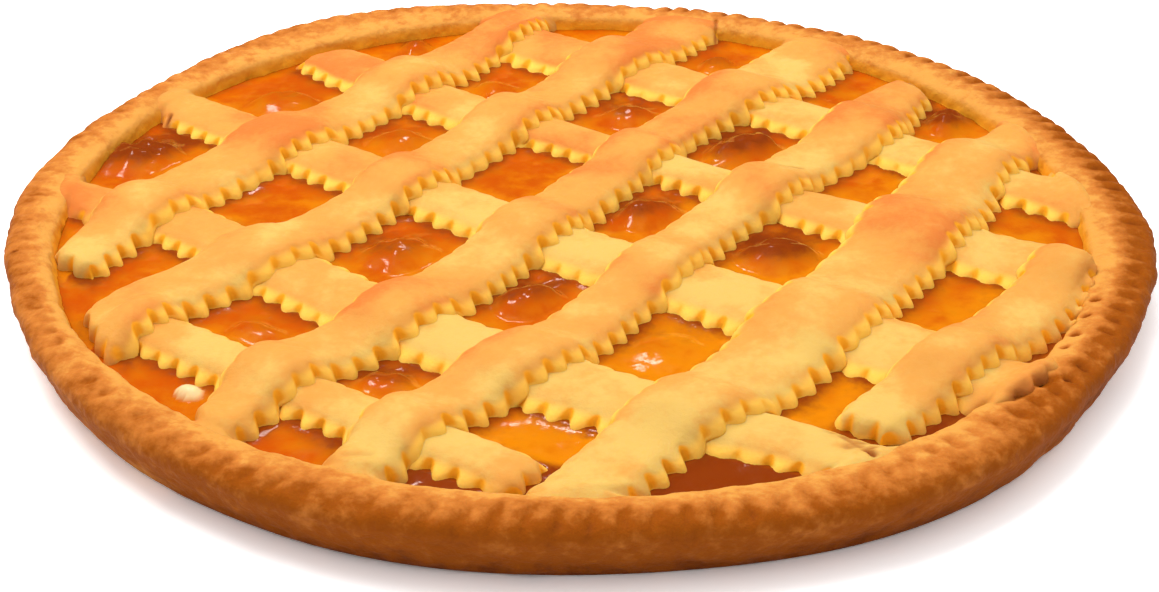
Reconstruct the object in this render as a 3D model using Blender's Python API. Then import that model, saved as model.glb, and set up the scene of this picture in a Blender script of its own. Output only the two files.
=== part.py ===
# Jam crostata: a round shortcrust tart with a crimped rim, jam and a diagonal lattice of pinked strips
import math

import bmesh
import bpy

# All sizes below are in millimetres; the model itself is in metres
MM = 0.001

# Crust
TART_RADIUS = 141.0
FOOT_RADIUS = 133.8
SHOULDER_RADIUS = 139.8
SHOULDER_HEIGHT = 14.9
RIM_TOP_RADIUS = 133.5
RIM_HEIGHT = 15.6
BASE_THICKNESS = 5.0
INNER_EDGE_RADIUS = 127.2
INNER_EDGE_HEIGHT = 14.2
INNER_FACE_RADIUS = 125.7
NARROW_RIM_ANGLE = math.radians(190.0)
CRIMP_COUNT = 138
CRIMP_DEPTH = 1.4

# Jam
JAM_LEVEL = 10.0
GAP = 0.3

# Lattice
LATTICE_TURN = math.radians(55.0)
DOUGH_THICKNESS = 3.6
UPPER_THICKNESS = 4.3
TOOTH_PITCH = 6.3
TOOTH_DEPTH = 0.6
SIDE_HEIGHT_SHARE = 0.62
CLIMB_START_RADIUS = 119.0
INSIDE_RADIUS = 124.6

# Rows of the crust's section: radius, height, share of the crimp depth, points around
CRUST_ROWS = (
    (FOOT_RADIUS, 0.0, 0.0, 2 * CRIMP_COUNT),
    (138.4, 5.2, 0.0, 2 * CRIMP_COUNT),
    (TART_RADIUS, 11.8, 0.6, 2 * CRIMP_COUNT),
    (SHOULDER_RADIUS, SHOULDER_HEIGHT, 1.0, 2 * CRIMP_COUNT),
    (RIM_TOP_RADIUS, RIM_HEIGHT, 0.0, CRIMP_COUNT),
    (INNER_EDGE_RADIUS, INNER_EDGE_HEIGHT, 0.0, CRIMP_COUNT),
    (INNER_FACE_RADIUS, BASE_THICKNESS, 0.0, CRIMP_COUNT),
)

# Waves of the hand-shaped outline: count round the tart, size and phase
OUTLINE_WAVES = (
    (1, 0.6, 1.92), (2, 0.9, -2.10), (3, 1.06, 0.77), (4, 0.84, 2.52), (5, 0.53, -2.61), (6, 1.08, 0.07),
    (7, 0.34, -2.76), (8, 0.64, -1.33),
)

# Jam swellings between the strips: along and across the lattice, half sizes and rise
JAM_SWELLINGS = (
    (57.0, -14.5, 12.5, 8.0, 3.6),
    (-43.0, -17.5, 8.0, 6.5, 3.0),
    (10.0, -14.5, 9.0, 7.0, 2.8),
    (-43.0, 22.5, 10.0, 8.0, 2.4),
    (11.0, -53.0, 9.0, 8.0, 2.6),
    (105.0, -52.5, 7.0, 6.0, 2.4),
    (57.0, 24.0, 8.0, 7.5, 2.6),
    (-42.0, 109.0, 9.0, 7.0, 2.8),
    (61.0, 102.5, 6.0, 4.5, 2.2),
    (-90.5, 24.0, 5.0, 7.0, 1.6),
    (-89.0, -14.5, 5.5, 6.5, 1.8),
    (6.0, 64.5, 8.5, 8.0, 2.2),
    (50.0, 65.5, 6.5, 7.0, 1.8),
    (7.0, 106.5, 10.0, 8.5, 2.6),
    (-43.0, -54.0, 9.0, 7.5, 1.6),
    (103.5, 22.5, 6.5, 5.0, 2.0),
    (-117.6, 18.0, 2.4, 3.4, 2.2),
)

# Strips: name, end kinds and limits, then rows of distance along, offset across and width.
# An end on the rim climbs it, an end at the edge stops short of it, and a cut end stops at a distance.
UPPER_STRIPS = (
    ("lattice_upper_1", ("cut", -97.0), ("rim", 134.0), (
        (-104, 76.0, 13.0), (-75, 84.5, 19.5), (-45, 87.3, 22.5), (10, 85.7, 21.5), (55, 85.0, 20.0), (106, 88.5, 18.0))),
    ("lattice_upper_2", ("edge", None), ("rim", 134.0), (
        (-118, 48.0, 20.0), (-100, 50.4, 21.5), (-70, 46.0, 20.5), (-45, 43.8, 18.5), (10, 45.0, 19.5),
        (80, 45.2, 21.0), (130, 44.0, 26.0))),
    ("lattice_upper_3", ("rim", 130.0), ("rim", 134.0), (
        (-134, -1.0, 12.0), (-121, 3.0, 15.0), (-100, 5.3, 19.0), (-72, 0.8, 19.3), (-20, 1.6, 20.0), (28, 4.4, 18.8), (55, 5.2, 18.2),
        (80, 3.8, 22.0), (105, 1.5, 26.0), (134, 0.0, 24.0))),
    ("lattice_upper_4", ("rim", 130.0), ("edge", None), (
        (-130, -33.5, 15.0), (-105, -29.6, 16.5), (-72, -33.4, 19.0), (-45, -35.4, 18.0), (10, -32.8, 18.0),
        (55, -34.4, 19.5), (80, -36.2, 21.5), (100, -34.2, 20.5), (120, -34.5, 13.0))),
    ("lattice_upper_5", ("rim", 130.5), ("rim", 132.5), (
        (-116, -72.0, 18.5), (-72, -72.7, 19.5), (-42, -76.6, 24.5), (10, -76.3, 25.5), (55, -73.0, 27.0),
        (80, -70.8, 23.0), (100, -74.5, 20.0), (116, -76.0, 18.0))),
    ("lattice_upper_6", ("cut", -49.0), ("cut", 43.5), (
        (-55, -105.5, 14.0), (-40, -106.8, 16.2), (-10, -110.3, 16.5), (15, -113.8, 19.0), (46, -113.0, 15.0))),
)
LOWER_STRIPS = (
    ("lattice_lower_1", ("cut", -61.2), ("cut", 50.0), (
        (-66, -101.5, 13.0), (-50, -102.5, 14.5), (-12, -105.0, 15.5), (28, -105.5, 15.6), (52, -106.0, 15.0))),
    ("lattice_lower_2", ("rim", 131.0), ("rim", 133.0), (
        (-122, -56.5, 15.0), (-93, -61.0, 18.5), (-50, -69.0, 22.5), (-15, -70.0, 22.0), (25, -69.0, 21.5),
        (68, -65.3, 19.5), (90, -67.5, 18.0), (116, -72.0, 16.0))),
    ("lattice_lower_3", ("rim", 132.0), ("rim", 134.0), (
        (-134, -15.0, 23.0), (-96, -15.0, 26.5), (-53, -16.3, 25.5), (-15, -18.3, 23.0), (24, -17.3, 20.0),
        (65, -16.4, 21.5), (134, -15.5, 18.0))),
    ("lattice_lower_4", ("edge", None), ("edge", None), (
        (-120, 43.0, 22.0), (-98, 39.5, 25.0), (-53, 35.2, 21.0), (-14, 33.4, 17.0), (24, 32.3, 17.5),
        (66, 31.2, 21.5), (104, 35.0, 22.5), (118, 36.0, 20.0))),
    ("lattice_lower_5", ("rim", 132.5), ("cut", 82.0), (
        (-112, 77.0, 20.0), (-95, 77.3, 20.0), (-54, 79.5, 21.5), (-15, 82.8, 21.5), (23, 81.8, 23.5),
        (66, 81.0, 28.0), (84, 81.0, 25.0))),
)

# Stations past the start of a climb onto the rim: radius and crown height
CLIMB_STATIONS = ((122.0, 14.8), (125.2, 15.5), (128.6, 16.0), (134.0, 16.7))

# Section of a strip: share of the half width, and share of the thickness
STRIP_SECTION = ((-1.0, 0.0), (-1.03, SIDE_HEIGHT_SHARE), (-0.6, 1.0), (0.6, 1.0), (1.03, SIDE_HEIGHT_SHARE), (1.0, 0.0))
SIDE_POINTS = (0, 1, 4, 5)


def radius_drift(angle):
    """Unevenness of the hand-shaped rim's outer radius."""
    drift = inner_waves(angle)
    for count, size, phase in OUTLINE_WAVES:
        drift += size * math.cos(count * angle - phase)
    return drift


def inner_waves(angle):
    """Small waves that the rim's inner and outer edges share."""
    return 0.3 * math.sin(2 * angle + 0.6) + 0.25 * math.sin(5 * angle + 2.1)


def inner_drift(angle):
    """Shift of the rim's inner edge: the rim is narrower on the left than on the right."""
    return inner_waves(angle) + 1.6 * math.cos(angle - NARROW_RIM_ANGLE)


def drift_at(radius, angle):
    """Unevenness of a ring of the crust, from the inner edge's to the outer wall's."""
    if radius <= INNER_EDGE_RADIUS:
        return inner_drift(angle)
    if radius == RIM_TOP_RADIUS:
        return 0.3 * inner_drift(angle) + 0.7 * radius_drift(angle)
    return radius_drift(angle)


def height_drift(angle):
    """Unevenness of the rim's height."""
    return 0.25 * math.sin(3 * angle + 1.0) + 0.15 * math.sin(7 * angle + 0.4)


def lattice_to_plan(along, across):
    """Plan position of a point given along and across the upper strips."""
    return (along * math.cos(LATTICE_TURN) - across * math.sin(LATTICE_TURN),
            along * math.sin(LATTICE_TURN) + across * math.cos(LATTICE_TURN))


def plan_to_lattice(x, y):
    """Position along and across the upper strips of a plan point."""
    return (x * math.cos(LATTICE_TURN) + y * math.sin(LATTICE_TURN),
            -x * math.sin(LATTICE_TURN) + y * math.cos(LATTICE_TURN))


def true_radius(x, y):
    """Radius with the inner edge's unevenness taken out."""
    return math.hypot(x, y) - inner_drift(math.atan2(y, x))


def rim_top(x, y):
    """Height of the rim's upper face."""
    radius = true_radius(x, y)
    lift = height_drift(math.atan2(y, x))
    if radius < INNER_EDGE_RADIUS:
        return INNER_EDGE_HEIGHT + lift
    share = min((radius - INNER_EDGE_RADIUS) / (RIM_TOP_RADIUS - INNER_EDGE_RADIUS - 2.5), 1.0)
    return INNER_EDGE_HEIGHT + share * (RIM_HEIGHT - INNER_EDGE_HEIGHT) + lift


def smooth_row(rows, distance):
    """Offset and width at a distance along a strip, eased between its rows."""
    if distance <= rows[0][0]:
        return rows[0][1], rows[0][2]
    for index in range(len(rows) - 1):
        before, after = rows[index], rows[index + 1]
        if distance <= after[0]:
            span = after[0] - before[0]
            share = (distance - before[0]) / span
            values = []
            for column in (1, 2):
                slope_in = row_slope(rows, index, column) * span
                slope_out = row_slope(rows, index + 1, column) * span
                values.append((2 * share ** 3 - 3 * share ** 2 + 1) * before[column]
                              + (share ** 3 - 2 * share ** 2 + share) * slope_in
                              + (3 * share ** 2 - 2 * share ** 3) * after[column]
                              + (share ** 3 - share ** 2) * slope_out)
            return values[0], values[1]
    return rows[-1][1], rows[-1][2]


def row_slope(rows, index, column):
    """Slope of one column at a row, from its neighbours."""
    low = max(index - 1, 0)
    high = min(index + 1, len(rows) - 1)
    return (rows[high][column] - rows[low][column]) / (rows[high][0] - rows[low][0])


def strip_point(rows, is_upper, distance, share, spread=0.0):
    """Plan position at a distance along a strip and a share of its half width."""
    offset, width = smooth_row(rows, distance)
    across = offset + share * (width / 2 + spread)
    if is_upper:
        return lattice_to_plan(distance, across)
    return lattice_to_plan(across, distance)


def distance_at_radius(rows, is_upper, share, radius, sign):
    """Distance along one line of a strip at which it reaches a radius."""
    low, high = 0.0, 160.0
    for _ in range(40):
        middle = (low + high) / 2
        if true_radius(*strip_point(rows, is_upper, sign * middle, share)) < radius:
            low = middle
        else:
            high = middle
    return sign * low


def pull_inside(x, y, limit):
    """Move a plan point that is past a radius back to it."""
    radius = true_radius(x, y)
    if radius <= limit:
        return x, y
    factor = (limit + inner_drift(math.atan2(y, x))) / math.hypot(x, y)
    return x * factor, y * factor


def end_distance(rows, is_upper, share, end, sign):
    """Distance at which the flat run of one line of a strip ends."""
    kind, limit = end
    if kind == "cut":
        return limit
    if kind == "edge":
        return distance_at_radius(rows, is_upper, share, INSIDE_RADIUS - 0.2, sign)
    return distance_at_radius(rows, is_upper, share, CLIMB_START_RADIUS, sign)


def climb_crown(radius, low_crown):
    """Crown height of a strip's end at a radius, from its flat run up onto the rim."""
    before = (CLIMB_START_RADIUS, low_crown)
    for station in CLIMB_STATIONS:
        if radius < station[0]:
            share = max(0.0, (radius - before[0]) / (station[0] - before[0]))
            return before[1] + share * (station[1] - before[1])
        before = station
    return before[1]


def plan_stations(strip, is_upper):
    """Plan outline of a strip: for each station its six plan points and its climb crown, if any."""
    _, start, finish, rows = strip
    shares = [share for share, _ in STRIP_SECTION]
    starts = [end_distance(rows, is_upper, share, start, -1.0) for share in shares]
    finishes = [end_distance(rows, is_upper, share, finish, 1.0) for share in shares]
    length = sum(finishes) / len(finishes) - sum(starts) / len(starts)
    count = 2 * max(2, round(length / TOOTH_PITCH))
    stations = []
    for step in range(count + 1):
        part = step / count
        spread = TOOTH_DEPTH if step % 2 else -TOOTH_DEPTH
        rounding = 1.0
        if (step == 0 and start[0] != "rim") or (step == count and finish[0] != "rim"):
            rounding = 0.78
        points = []
        for index, share in enumerate(shares):
            distance = starts[index] + part * (finishes[index] - starts[index])
            side = spread if index in SIDE_POINTS else 0.0
            x, y = strip_point(rows, is_upper, distance, share * rounding, side)
            points.append(pull_inside(x, y, INSIDE_RADIUS))
        stations.append((points, None))
    if start[0] == "rim":
        for radius, crown in climb_stations(start[1]):
            narrowing = 0.9 if radius == start[1] else 1.0
            stations.insert(0, (climb_points(rows, is_upper, shares, radius, -1.0, narrowing), crown))
    if finish[0] == "rim":
        for radius, crown in climb_stations(finish[1]):
            narrowing = 0.9 if radius == finish[1] else 1.0
            stations.append((climb_points(rows, is_upper, shares, radius, 1.0, narrowing), crown))
    return stations


def climb_stations(end_radius):
    """Stations of a climb onto the rim that ends at a radius."""
    kept = [station for station in CLIMB_STATIONS if station[0] < end_radius - 1.0]
    return kept + [(end_radius, climb_crown(end_radius, 0.0))]


def climb_points(rows, is_upper, shares, radius, sign, narrowing):
    """Plan points of a station on the rim, all at one radius."""
    points = []
    for share in shares:
        distance = distance_at_radius(rows, is_upper, share * narrowing, radius, sign)
        points.append(strip_point(rows, is_upper, distance, share * narrowing))
    return points


def station_bottom(points, crown, lower_tops):
    """Height of a strip's underside at a station."""
    bottom = JAM_LEVEL + GAP
    if crown is not None:
        for x, y in points:
            if true_radius(x, y) > INSIDE_RADIUS:
                bottom = max(bottom, rim_top(x, y) + GAP + 0.1)
    for x, y in points:
        bottom = max(bottom, lower_tops(x, y))
    return bottom


def reach_of(stations, index, reach=3.4):
    """Sample points of a station and of the ground up to its neighbours."""
    points = stations[index][0]
    samples = []
    left, right = points[0], points[-1]
    for across in range(9):
        share = across / 8
        x = left[0] + share * (right[0] - left[0])
        y = left[1] + share * (right[1] - left[1])
        samples.append((x, y))
        for other in (index - 1, index + 1):
            if 0 <= other < len(stations):
                far_left, far_right = stations[other][0][0], stations[other][0][-1]
                far_x = far_left[0] + share * (far_right[0] - far_left[0])
                far_y = far_left[1] + share * (far_right[1] - far_left[1])
                samples.append(((x + far_x) / 2, (y + far_y) / 2))
                samples.append((x + 0.95 * (far_x - x), y + 0.95 * (far_y - y)))
    return samples


def lower_top_reader(lower_shapes):
    """Reader of the clearance height above the lower strips."""
    low_crown = JAM_LEVEL + GAP + DOUGH_THICKNESS

    def read(x, y):
        top = 0.0
        along, across = plan_to_lattice(x, y)
        for rows, first, last, climbs in lower_shapes:
            if first - 0.6 <= across <= last + 0.6:
                offset, width = smooth_row(rows, across)
                share = abs(along - offset) / (width / 2 + TOOTH_DEPTH)
                if share < 1.1:
                    slope = max(0.0, min(1.0, (share - 0.55) / 0.5))
                    drop = slope * (1 - SIDE_HEIGHT_SHARE) * DOUGH_THICKNESS
                    crown = low_crown
                    if climbs[across > 0]:
                        crown = climb_crown(true_radius(x, y) + 0.8, low_crown)
                    top = max(top, crown - drop + GAP + 0.1)
        return top
    return read


def strip_heights(stations, thickness, lower_tops):
    """Underside and crown heights of a strip's stations."""
    bottoms = []
    for index, (points, crown) in enumerate(stations):
        clearance = max(lower_tops(x, y) for x, y in reach_of(stations, index))
        bottoms.append(max(station_bottom(points, crown, lower_tops), clearance))
    crowns = []
    for index, (_, crown) in enumerate(stations):
        near = bottoms[max(index - 1, 0):index + 2]
        eased = sum(near) / len(near) + thickness
        top = max(eased, bottoms[index] + 0.75 * thickness)
        if crown is not None:
            top = max(crown, bottoms[index] + 1.0)
            if bottoms[index] > crown - 1.0 and bottoms[index] < JAM_LEVEL + GAP + 5.0 and crown < 15.5:
                top = bottoms[index] + 0.75 * thickness
        crowns.append(top)
    return bottoms, crowns


def new_object(collection, name, mesh_builder, material):
    """Object with a mesh from a bmesh, shaded smooth between soft edges."""
    mesh = bpy.data.meshes.new(name)
    mesh_builder.to_mesh(mesh)
    mesh_builder.free()
    mesh.materials.append(material)
    mesh.shade_smooth()
    mesh.set_sharp_from_angle(angle=math.radians(40))
    thing = bpy.data.objects.new(name, mesh)
    collection.objects.link(thing)
    return thing


def make_material(name, colour, roughness):
    """Principled material with one colour and roughness."""
    material = bpy.data.materials.new(name)
    material.use_nodes = True
    shader = material.node_tree.nodes["Principled BSDF"]
    shader.inputs["Base Color"].default_value = (*colour, 1.0)
    shader.inputs["Roughness"].default_value = roughness
    shader.inputs["Metallic"].default_value = 0.0
    material.diffuse_color = (*colour, 1.0)
    return material


def make_strip(collection, strip, is_upper, thickness, lower_tops, material):
    """One dough strip, lofted along its stations."""
    stations = plan_stations(strip, is_upper)
    bottoms, crowns = strip_heights(stations, thickness, lower_tops)
    bm = bmesh.new()
    rings = []
    for (points, _), bottom, crown in zip(stations, bottoms, crowns):
        ring = []
        for (x, y), (_, share) in zip(points, STRIP_SECTION):
            ring.append(bm.verts.new((x * MM, y * MM, (bottom + share * (crown - bottom)) * MM)))
        rings.append(ring)
    for before, after in zip(rings, rings[1:]):
        for index in range(len(before)):
            following = (index + 1) % len(before)
            bm.faces.new((before[index], before[following], after[following], after[index]))
    bm.faces.new(rings[0])
    bm.faces.new(rings[-1])
    bmesh.ops.recalc_face_normals(bm, faces=bm.faces)
    bmesh.ops.triangulate(bm, faces=bm.faces)
    return new_object(collection, strip[0], bm, material)


def crust_ring(bm, radius, height, crimp_share, count):
    """Ring of the crust's section, pressed in at every other point where it is crimped."""
    ring = []
    for step in range(count):
        angle = 2 * math.pi * step / count
        press = CRIMP_DEPTH * crimp_share if count > CRIMP_COUNT and step % 2 else 0.0
        distance = radius + drift_at(radius, angle) - press
        lift = height_drift(angle) * height / RIM_HEIGHT - 0.5 * press
        if height <= BASE_THICKNESS:
            lift = 0.0
        ring.append(bm.verts.new((distance * math.cos(angle) * MM, distance * math.sin(angle) * MM, (height + lift) * MM)))
    return ring


def join_rings(bm, outer, inner):
    """Faces between two rings, the second with as many points or half as many."""
    ratio = len(outer) // len(inner)
    for step in range(len(inner)):
        following = (step + 1) % len(inner)
        if ratio == 1:
            bm.faces.new((outer[step], outer[following], inner[following], inner[step]))
        else:
            left, middle, right = outer[2 * step], outer[2 * step + 1], outer[(2 * step + 2) % len(outer)]
            bm.faces.new((left, middle, inner[step]))
            bm.faces.new((middle, right, inner[following]))
            bm.faces.new((middle, inner[following], inner[step]))


def make_crust(collection, material):
    """Crust with its floor, flaring wall and crimped rim."""
    bm = bmesh.new()
    rings = [crust_ring(bm, *row) for row in CRUST_ROWS]
    for outer, inner in zip(rings, rings[1:]):
        join_rings(bm, outer, inner)
    bm.faces.new(rings[-1])
    bm.faces.new(rings[0])
    bmesh.ops.recalc_face_normals(bm, faces=bm.faces)
    bmesh.ops.triangulate(bm, faces=bm.faces)
    return new_object(collection, "crust_shell", bm, material)


def make_jam(collection, cutters, material):
    """Jam filling up to its level, with swellings between the strips."""
    bm = bmesh.new()
    bmesh.ops.create_cone(bm, cap_ends=True, segments=CRIMP_COUNT // 2, radius1=1.0, radius2=1.0, depth=1.0)
    low = BASE_THICKNESS + GAP
    for vert in bm.verts:
        angle = math.atan2(vert.co.y, vert.co.x)
        height = low if vert.co.z < 0 else JAM_LEVEL
        face_share = (height - BASE_THICKNESS) / (INNER_EDGE_HEIGHT - BASE_THICKNESS)
        wall = INNER_FACE_RADIUS + face_share * (INNER_EDGE_RADIUS - INNER_FACE_RADIUS)
        radius = wall + inner_drift(angle) - GAP - 0.15
        vert.co = (radius * math.cos(angle) * MM, radius * math.sin(angle) * MM, height * MM)
    jam = new_object(collection, "jam_filling", bm, material)
    swell = bmesh.new()
    for along, across, half_along, half_across, rise in JAM_SWELLINGS:
        made = bmesh.ops.create_uvsphere(swell, u_segments=12, v_segments=6, radius=1.0)
        centre_x, centre_y = lattice_to_plan(along, across)
        for vert in made["verts"]:
            x, y = lattice_to_plan(vert.co.x * half_along, vert.co.y * half_across)
            vert.co = ((centre_x + x) * MM, (centre_y + y) * MM, (JAM_LEVEL + (vert.co.z - 0.02) * rise) * MM)
    swellings = new_object(cutters, "jam_swellings", swell, material)
    swellings.hide_render = True
    swellings.display_type = "WIRE"
    union = jam.modifiers.new("swellings", "BOOLEAN")
    union.operation = "UNION"
    union.solver = "EXACT"
    union.object = swellings
    return jam


def main():
    """Build the whole tart."""
    for thing in list(bpy.data.objects):
        bpy.data.objects.remove(thing, do_unlink=True)
    collection = bpy.data.collections.new("jam_crostata")
    cutters = bpy.data.collections.new("cutters")
    bpy.context.scene.collection.children.link(collection)
    bpy.context.scene.collection.children.link(cutters)
    crust = make_material("baked_crust", (0.62, 0.27, 0.06), 0.7)
    jam = make_material("apricot_jam", (0.55, 0.10, 0.006), 0.15)
    upper = make_material("upper_dough", (0.86, 0.44, 0.12), 0.6)
    lower = make_material("lower_dough", (0.92, 0.58, 0.18), 0.6)
    make_crust(collection, crust)
    make_jam(collection, cutters, jam)
    lower_shapes = []
    for strip in LOWER_STRIPS:
        make_strip(collection, strip, False, DOUGH_THICKNESS, lambda x, y: 0.0, lower)
        limits = []
        for end, sign in ((strip[1], -1.0), (strip[2], 1.0)):
            limits.append(end[1] if end[0] == "cut" else distance_at_radius(strip[3], False, 0.0, INSIDE_RADIUS, sign))
        climbs = (strip[1][0] == "rim", strip[2][0] == "rim")
        lower_shapes.append((strip[3], limits[0], limits[1], climbs))
    lower_tops = lower_top_reader(lower_shapes)
    for strip in UPPER_STRIPS:
        make_strip(collection, strip, True, UPPER_THICKNESS, lower_tops, upper)


main()
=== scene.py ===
import math

import bmesh
import bpy
import numpy as np
from mathutils import Matrix, Vector


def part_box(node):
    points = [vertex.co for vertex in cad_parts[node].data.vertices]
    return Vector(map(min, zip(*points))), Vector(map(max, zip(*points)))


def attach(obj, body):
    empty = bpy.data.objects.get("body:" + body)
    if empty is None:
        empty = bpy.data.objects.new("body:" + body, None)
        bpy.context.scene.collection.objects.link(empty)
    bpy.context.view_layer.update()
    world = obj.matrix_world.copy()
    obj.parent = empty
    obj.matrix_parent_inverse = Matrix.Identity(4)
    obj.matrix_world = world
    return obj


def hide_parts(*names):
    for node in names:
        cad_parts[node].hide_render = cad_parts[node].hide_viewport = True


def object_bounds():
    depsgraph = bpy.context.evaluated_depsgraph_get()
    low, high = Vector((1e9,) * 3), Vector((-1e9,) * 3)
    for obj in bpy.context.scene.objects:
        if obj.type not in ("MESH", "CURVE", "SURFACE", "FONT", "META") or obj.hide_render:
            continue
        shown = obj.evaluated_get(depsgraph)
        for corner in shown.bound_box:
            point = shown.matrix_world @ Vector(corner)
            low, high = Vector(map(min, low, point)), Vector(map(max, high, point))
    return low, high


bl_info = {
    "name": "Jam crostata",
    "version": (1, 0, 0),
    "blender": (4, 5, 0),
    "location": "3D Viewport > Sidebar > Tart",
    "description": "Builds a jam crostata with a crimped crust, glossy jam and a pinked dough lattice",
    "category": "Object",
}

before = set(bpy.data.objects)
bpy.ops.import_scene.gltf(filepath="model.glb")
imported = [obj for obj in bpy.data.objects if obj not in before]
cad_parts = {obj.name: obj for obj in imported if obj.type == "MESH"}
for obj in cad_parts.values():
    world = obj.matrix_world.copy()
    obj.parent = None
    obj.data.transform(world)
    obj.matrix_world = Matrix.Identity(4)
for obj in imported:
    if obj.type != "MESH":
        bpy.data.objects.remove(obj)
CAD_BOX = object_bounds()

# Sizes in the tables and functions are in millimetres; meshes are in metres
MM = 0.001
HIGHEST_CROWN = CAD_BOX[1].z / MM - 0.05

# Cells of the noise, and how finely curves and limits are worked out
NOISE_CELLS = 48
CURVE_STEPS = 40
PROFILE_ROWS = 400
ARC_STEPS = 2000
HALVINGS = 30

# Crust
RIM_HEIGHT = 15.6
INNER_EDGE_RADIUS = 127.2
SHOULDER_RADIUS = 137.0
FLOOR_RADIUS = 125.0
CRIMP_MIDDLE_RADIUS = 135.9
CRIMP_RING_RADIUS = 136.0
CRIMP_HALF_WIDTH = 1.3
CRIMP_HALF_LENGTH = 2.1
CRIMP_SKEW = 0.2
POINTS_PER_CRIMP = 10
CRUST_ROWS = 66

# Angles round the tart from +X: where the rim is narrowest, the middles of its near side, its right side and
# the side with clear crimps; then middle and width in degrees of the stretches with flutes and stray crimps
NARROW_RIM_ANGLE = math.radians(190.0)
NEAR_SIDE_ANGLE = math.radians(272.0)
RIGHT_SIDE_ANGLE = math.radians(345.0)
CLEAR_CRIMPS_ANGLE = math.radians(330.0)
FLUTED_STRETCH = (262.0, 27.0)
STRAY_STRETCH = (304.0, 11.0)

# Lattice, with the powers of its sections' outlines across and up, the radii over which ends melt into the
# rim, and the distances of the extra rings near an end
LATTICE_TURN = math.radians(55.0)
INSIDE_RADIUS = 124.6
RIM_FACE_RADIUS = 128.2
CLIMB_START_RADIUS = 119.0
OUTSIDE_RADIUS = 160.0
STRIP_GAP = 0.3
STRIP_SINK = 0.9
RIM_END_SINK = 0.9
MELT_RADII = (123.5, 129.5)
SECTION_COUNT = 46
UNDERSIDE_COUNT = 9
END_RINGS = (0.08, 0.25)
END_TAPER = 4.2
NEAR_TEETH = 1.0
FAR_TEETH = 0.6
UPPER_POWERS = (4.4, 2.2)
LOWER_POWERS = (3.0, 2.0)
FAR_AWAY = 50.0

# Jam, with how much wider and higher its swellings and their dark skin are than the table of them says
JAM_WALL_RADIUS = 126.2
JAM_EDGE_RADIUS = 126.0
JAM_GRID_HALF = 131.0
DOME_SPREAD = 1.2
DOME_RISE = 1.3
SKIN_SPREAD = 1.12

# Floor and camera, in metres but for the sensor
FLOOR_HALF = 6.0
FLOOR_DROP = 0.00005
SENSOR_WIDTH = 36.0
CLIP_RANGE = (0.01, 50.0)

# Crust section from the underside, round the wall and the rim, to the floor: radius, height, and how much
# it is baked on the pale left and on the near side, whose extra brown is painted shade
CRUST_SECTION = (
    (133.4, 0.0, 0.45, 1.5), (134.5, 0.1, 0.45, 1.5), (135.2, 0.8, 0.4, 1.5), (136.3, 2.6, 0.5, 1.4),
    (137.9, 5.2, 0.75, 1.2), (139.4, 8.0, 1.0, 1.05), (140.4, 10.4, 0.95, 1.0), (140.85, 12.0, 0.85, 1.0),
    (140.5, 13.4, 0.75, 1.0), (139.4, 14.6, 0.65, 1.0), (137.6, 15.35, 0.55, 0.75), (135.2, 15.7, 0.42, 0.5),
    (132.8, 15.6, 0.3, 0.32), (130.4, 15.15, 0.15, 0.15), (128.4, 14.55, 0.0, 0.0),
    (127.2, 13.8, -0.05, -0.05), (126.7, 12.6, 0.1, 0.1), (126.35, 11.0, 0.2, 0.2), (126.05, 9.0, 0.2, 0.2),
    (125.8, 6.4, 0.2, 0.2), (125.0, 5.1, 0.2, 0.2),
)

# Waves of the hand-shaped outline: count round the tart, size and phase
OUTLINE_WAVES = (
    (1, 0.6, 1.92), (2, 0.9, -2.10), (3, 1.06, 0.77), (4, 0.84, 2.52), (5, 0.53, -2.61), (6, 1.08, 0.07),
    (7, 0.34, -2.76), (8, 0.64, -1.33),
)

# Strips: name, kinds and limits of both ends, then rows of distance along, offset across and width
UPPER_STRIPS = (
    ("lattice_upper_1", ("cut", -97.0), ("rim", 134.0), (
        (-104, 76.0, 13.0), (-75, 84.5, 19.5), (-45, 87.3, 22.5), (10, 85.7, 21.5), (55, 85.0, 20.0),
        (106, 88.5, 18.0))),
    ("lattice_upper_2", ("edge", None), ("rim", 134.0), (
        (-118, 48.0, 20.0), (-100, 50.4, 21.5), (-70, 46.0, 20.5), (-45, 43.8, 18.5), (10, 45.0, 19.5),
        (80, 45.2, 21.0), (130, 44.0, 26.0))),
    ("lattice_upper_3", ("rim", 130.0), ("rim", 134.0), (
        (-134, -1.0, 12.0), (-121, 3.0, 15.0), (-100, 5.3, 19.0), (-72, 0.8, 19.3), (-20, 1.6, 20.0),
        (28, 4.4, 18.8), (55, 5.2, 18.2), (80, 3.8, 22.0), (105, 1.5, 26.0), (134, 0.0, 24.0))),
    ("lattice_upper_4", ("rim", 130.0), ("edge", None), (
        (-130, -33.5, 15.0), (-105, -29.6, 16.5), (-72, -33.4, 19.0), (-45, -35.4, 18.0), (10, -32.8, 18.0),
        (55, -34.4, 19.5), (80, -36.2, 21.5), (100, -34.2, 20.5), (120, -34.5, 13.0))),
    ("lattice_upper_5", ("rim", 130.5), ("rim", 132.5), (
        (-116, -72.0, 18.5), (-72, -72.7, 19.5), (-42, -76.6, 24.5), (10, -76.3, 25.5), (55, -73.0, 27.0),
        (80, -70.8, 23.0), (100, -74.5, 20.0), (116, -76.0, 18.0))),
    ("lattice_upper_6", ("cut", -49.0), ("cut", 43.5), (
        (-55, -105.5, 14.0), (-40, -106.8, 16.2), (-10, -110.3, 16.5), (15, -113.8, 19.0),
        (46, -113.0, 15.0))),
)
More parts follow.
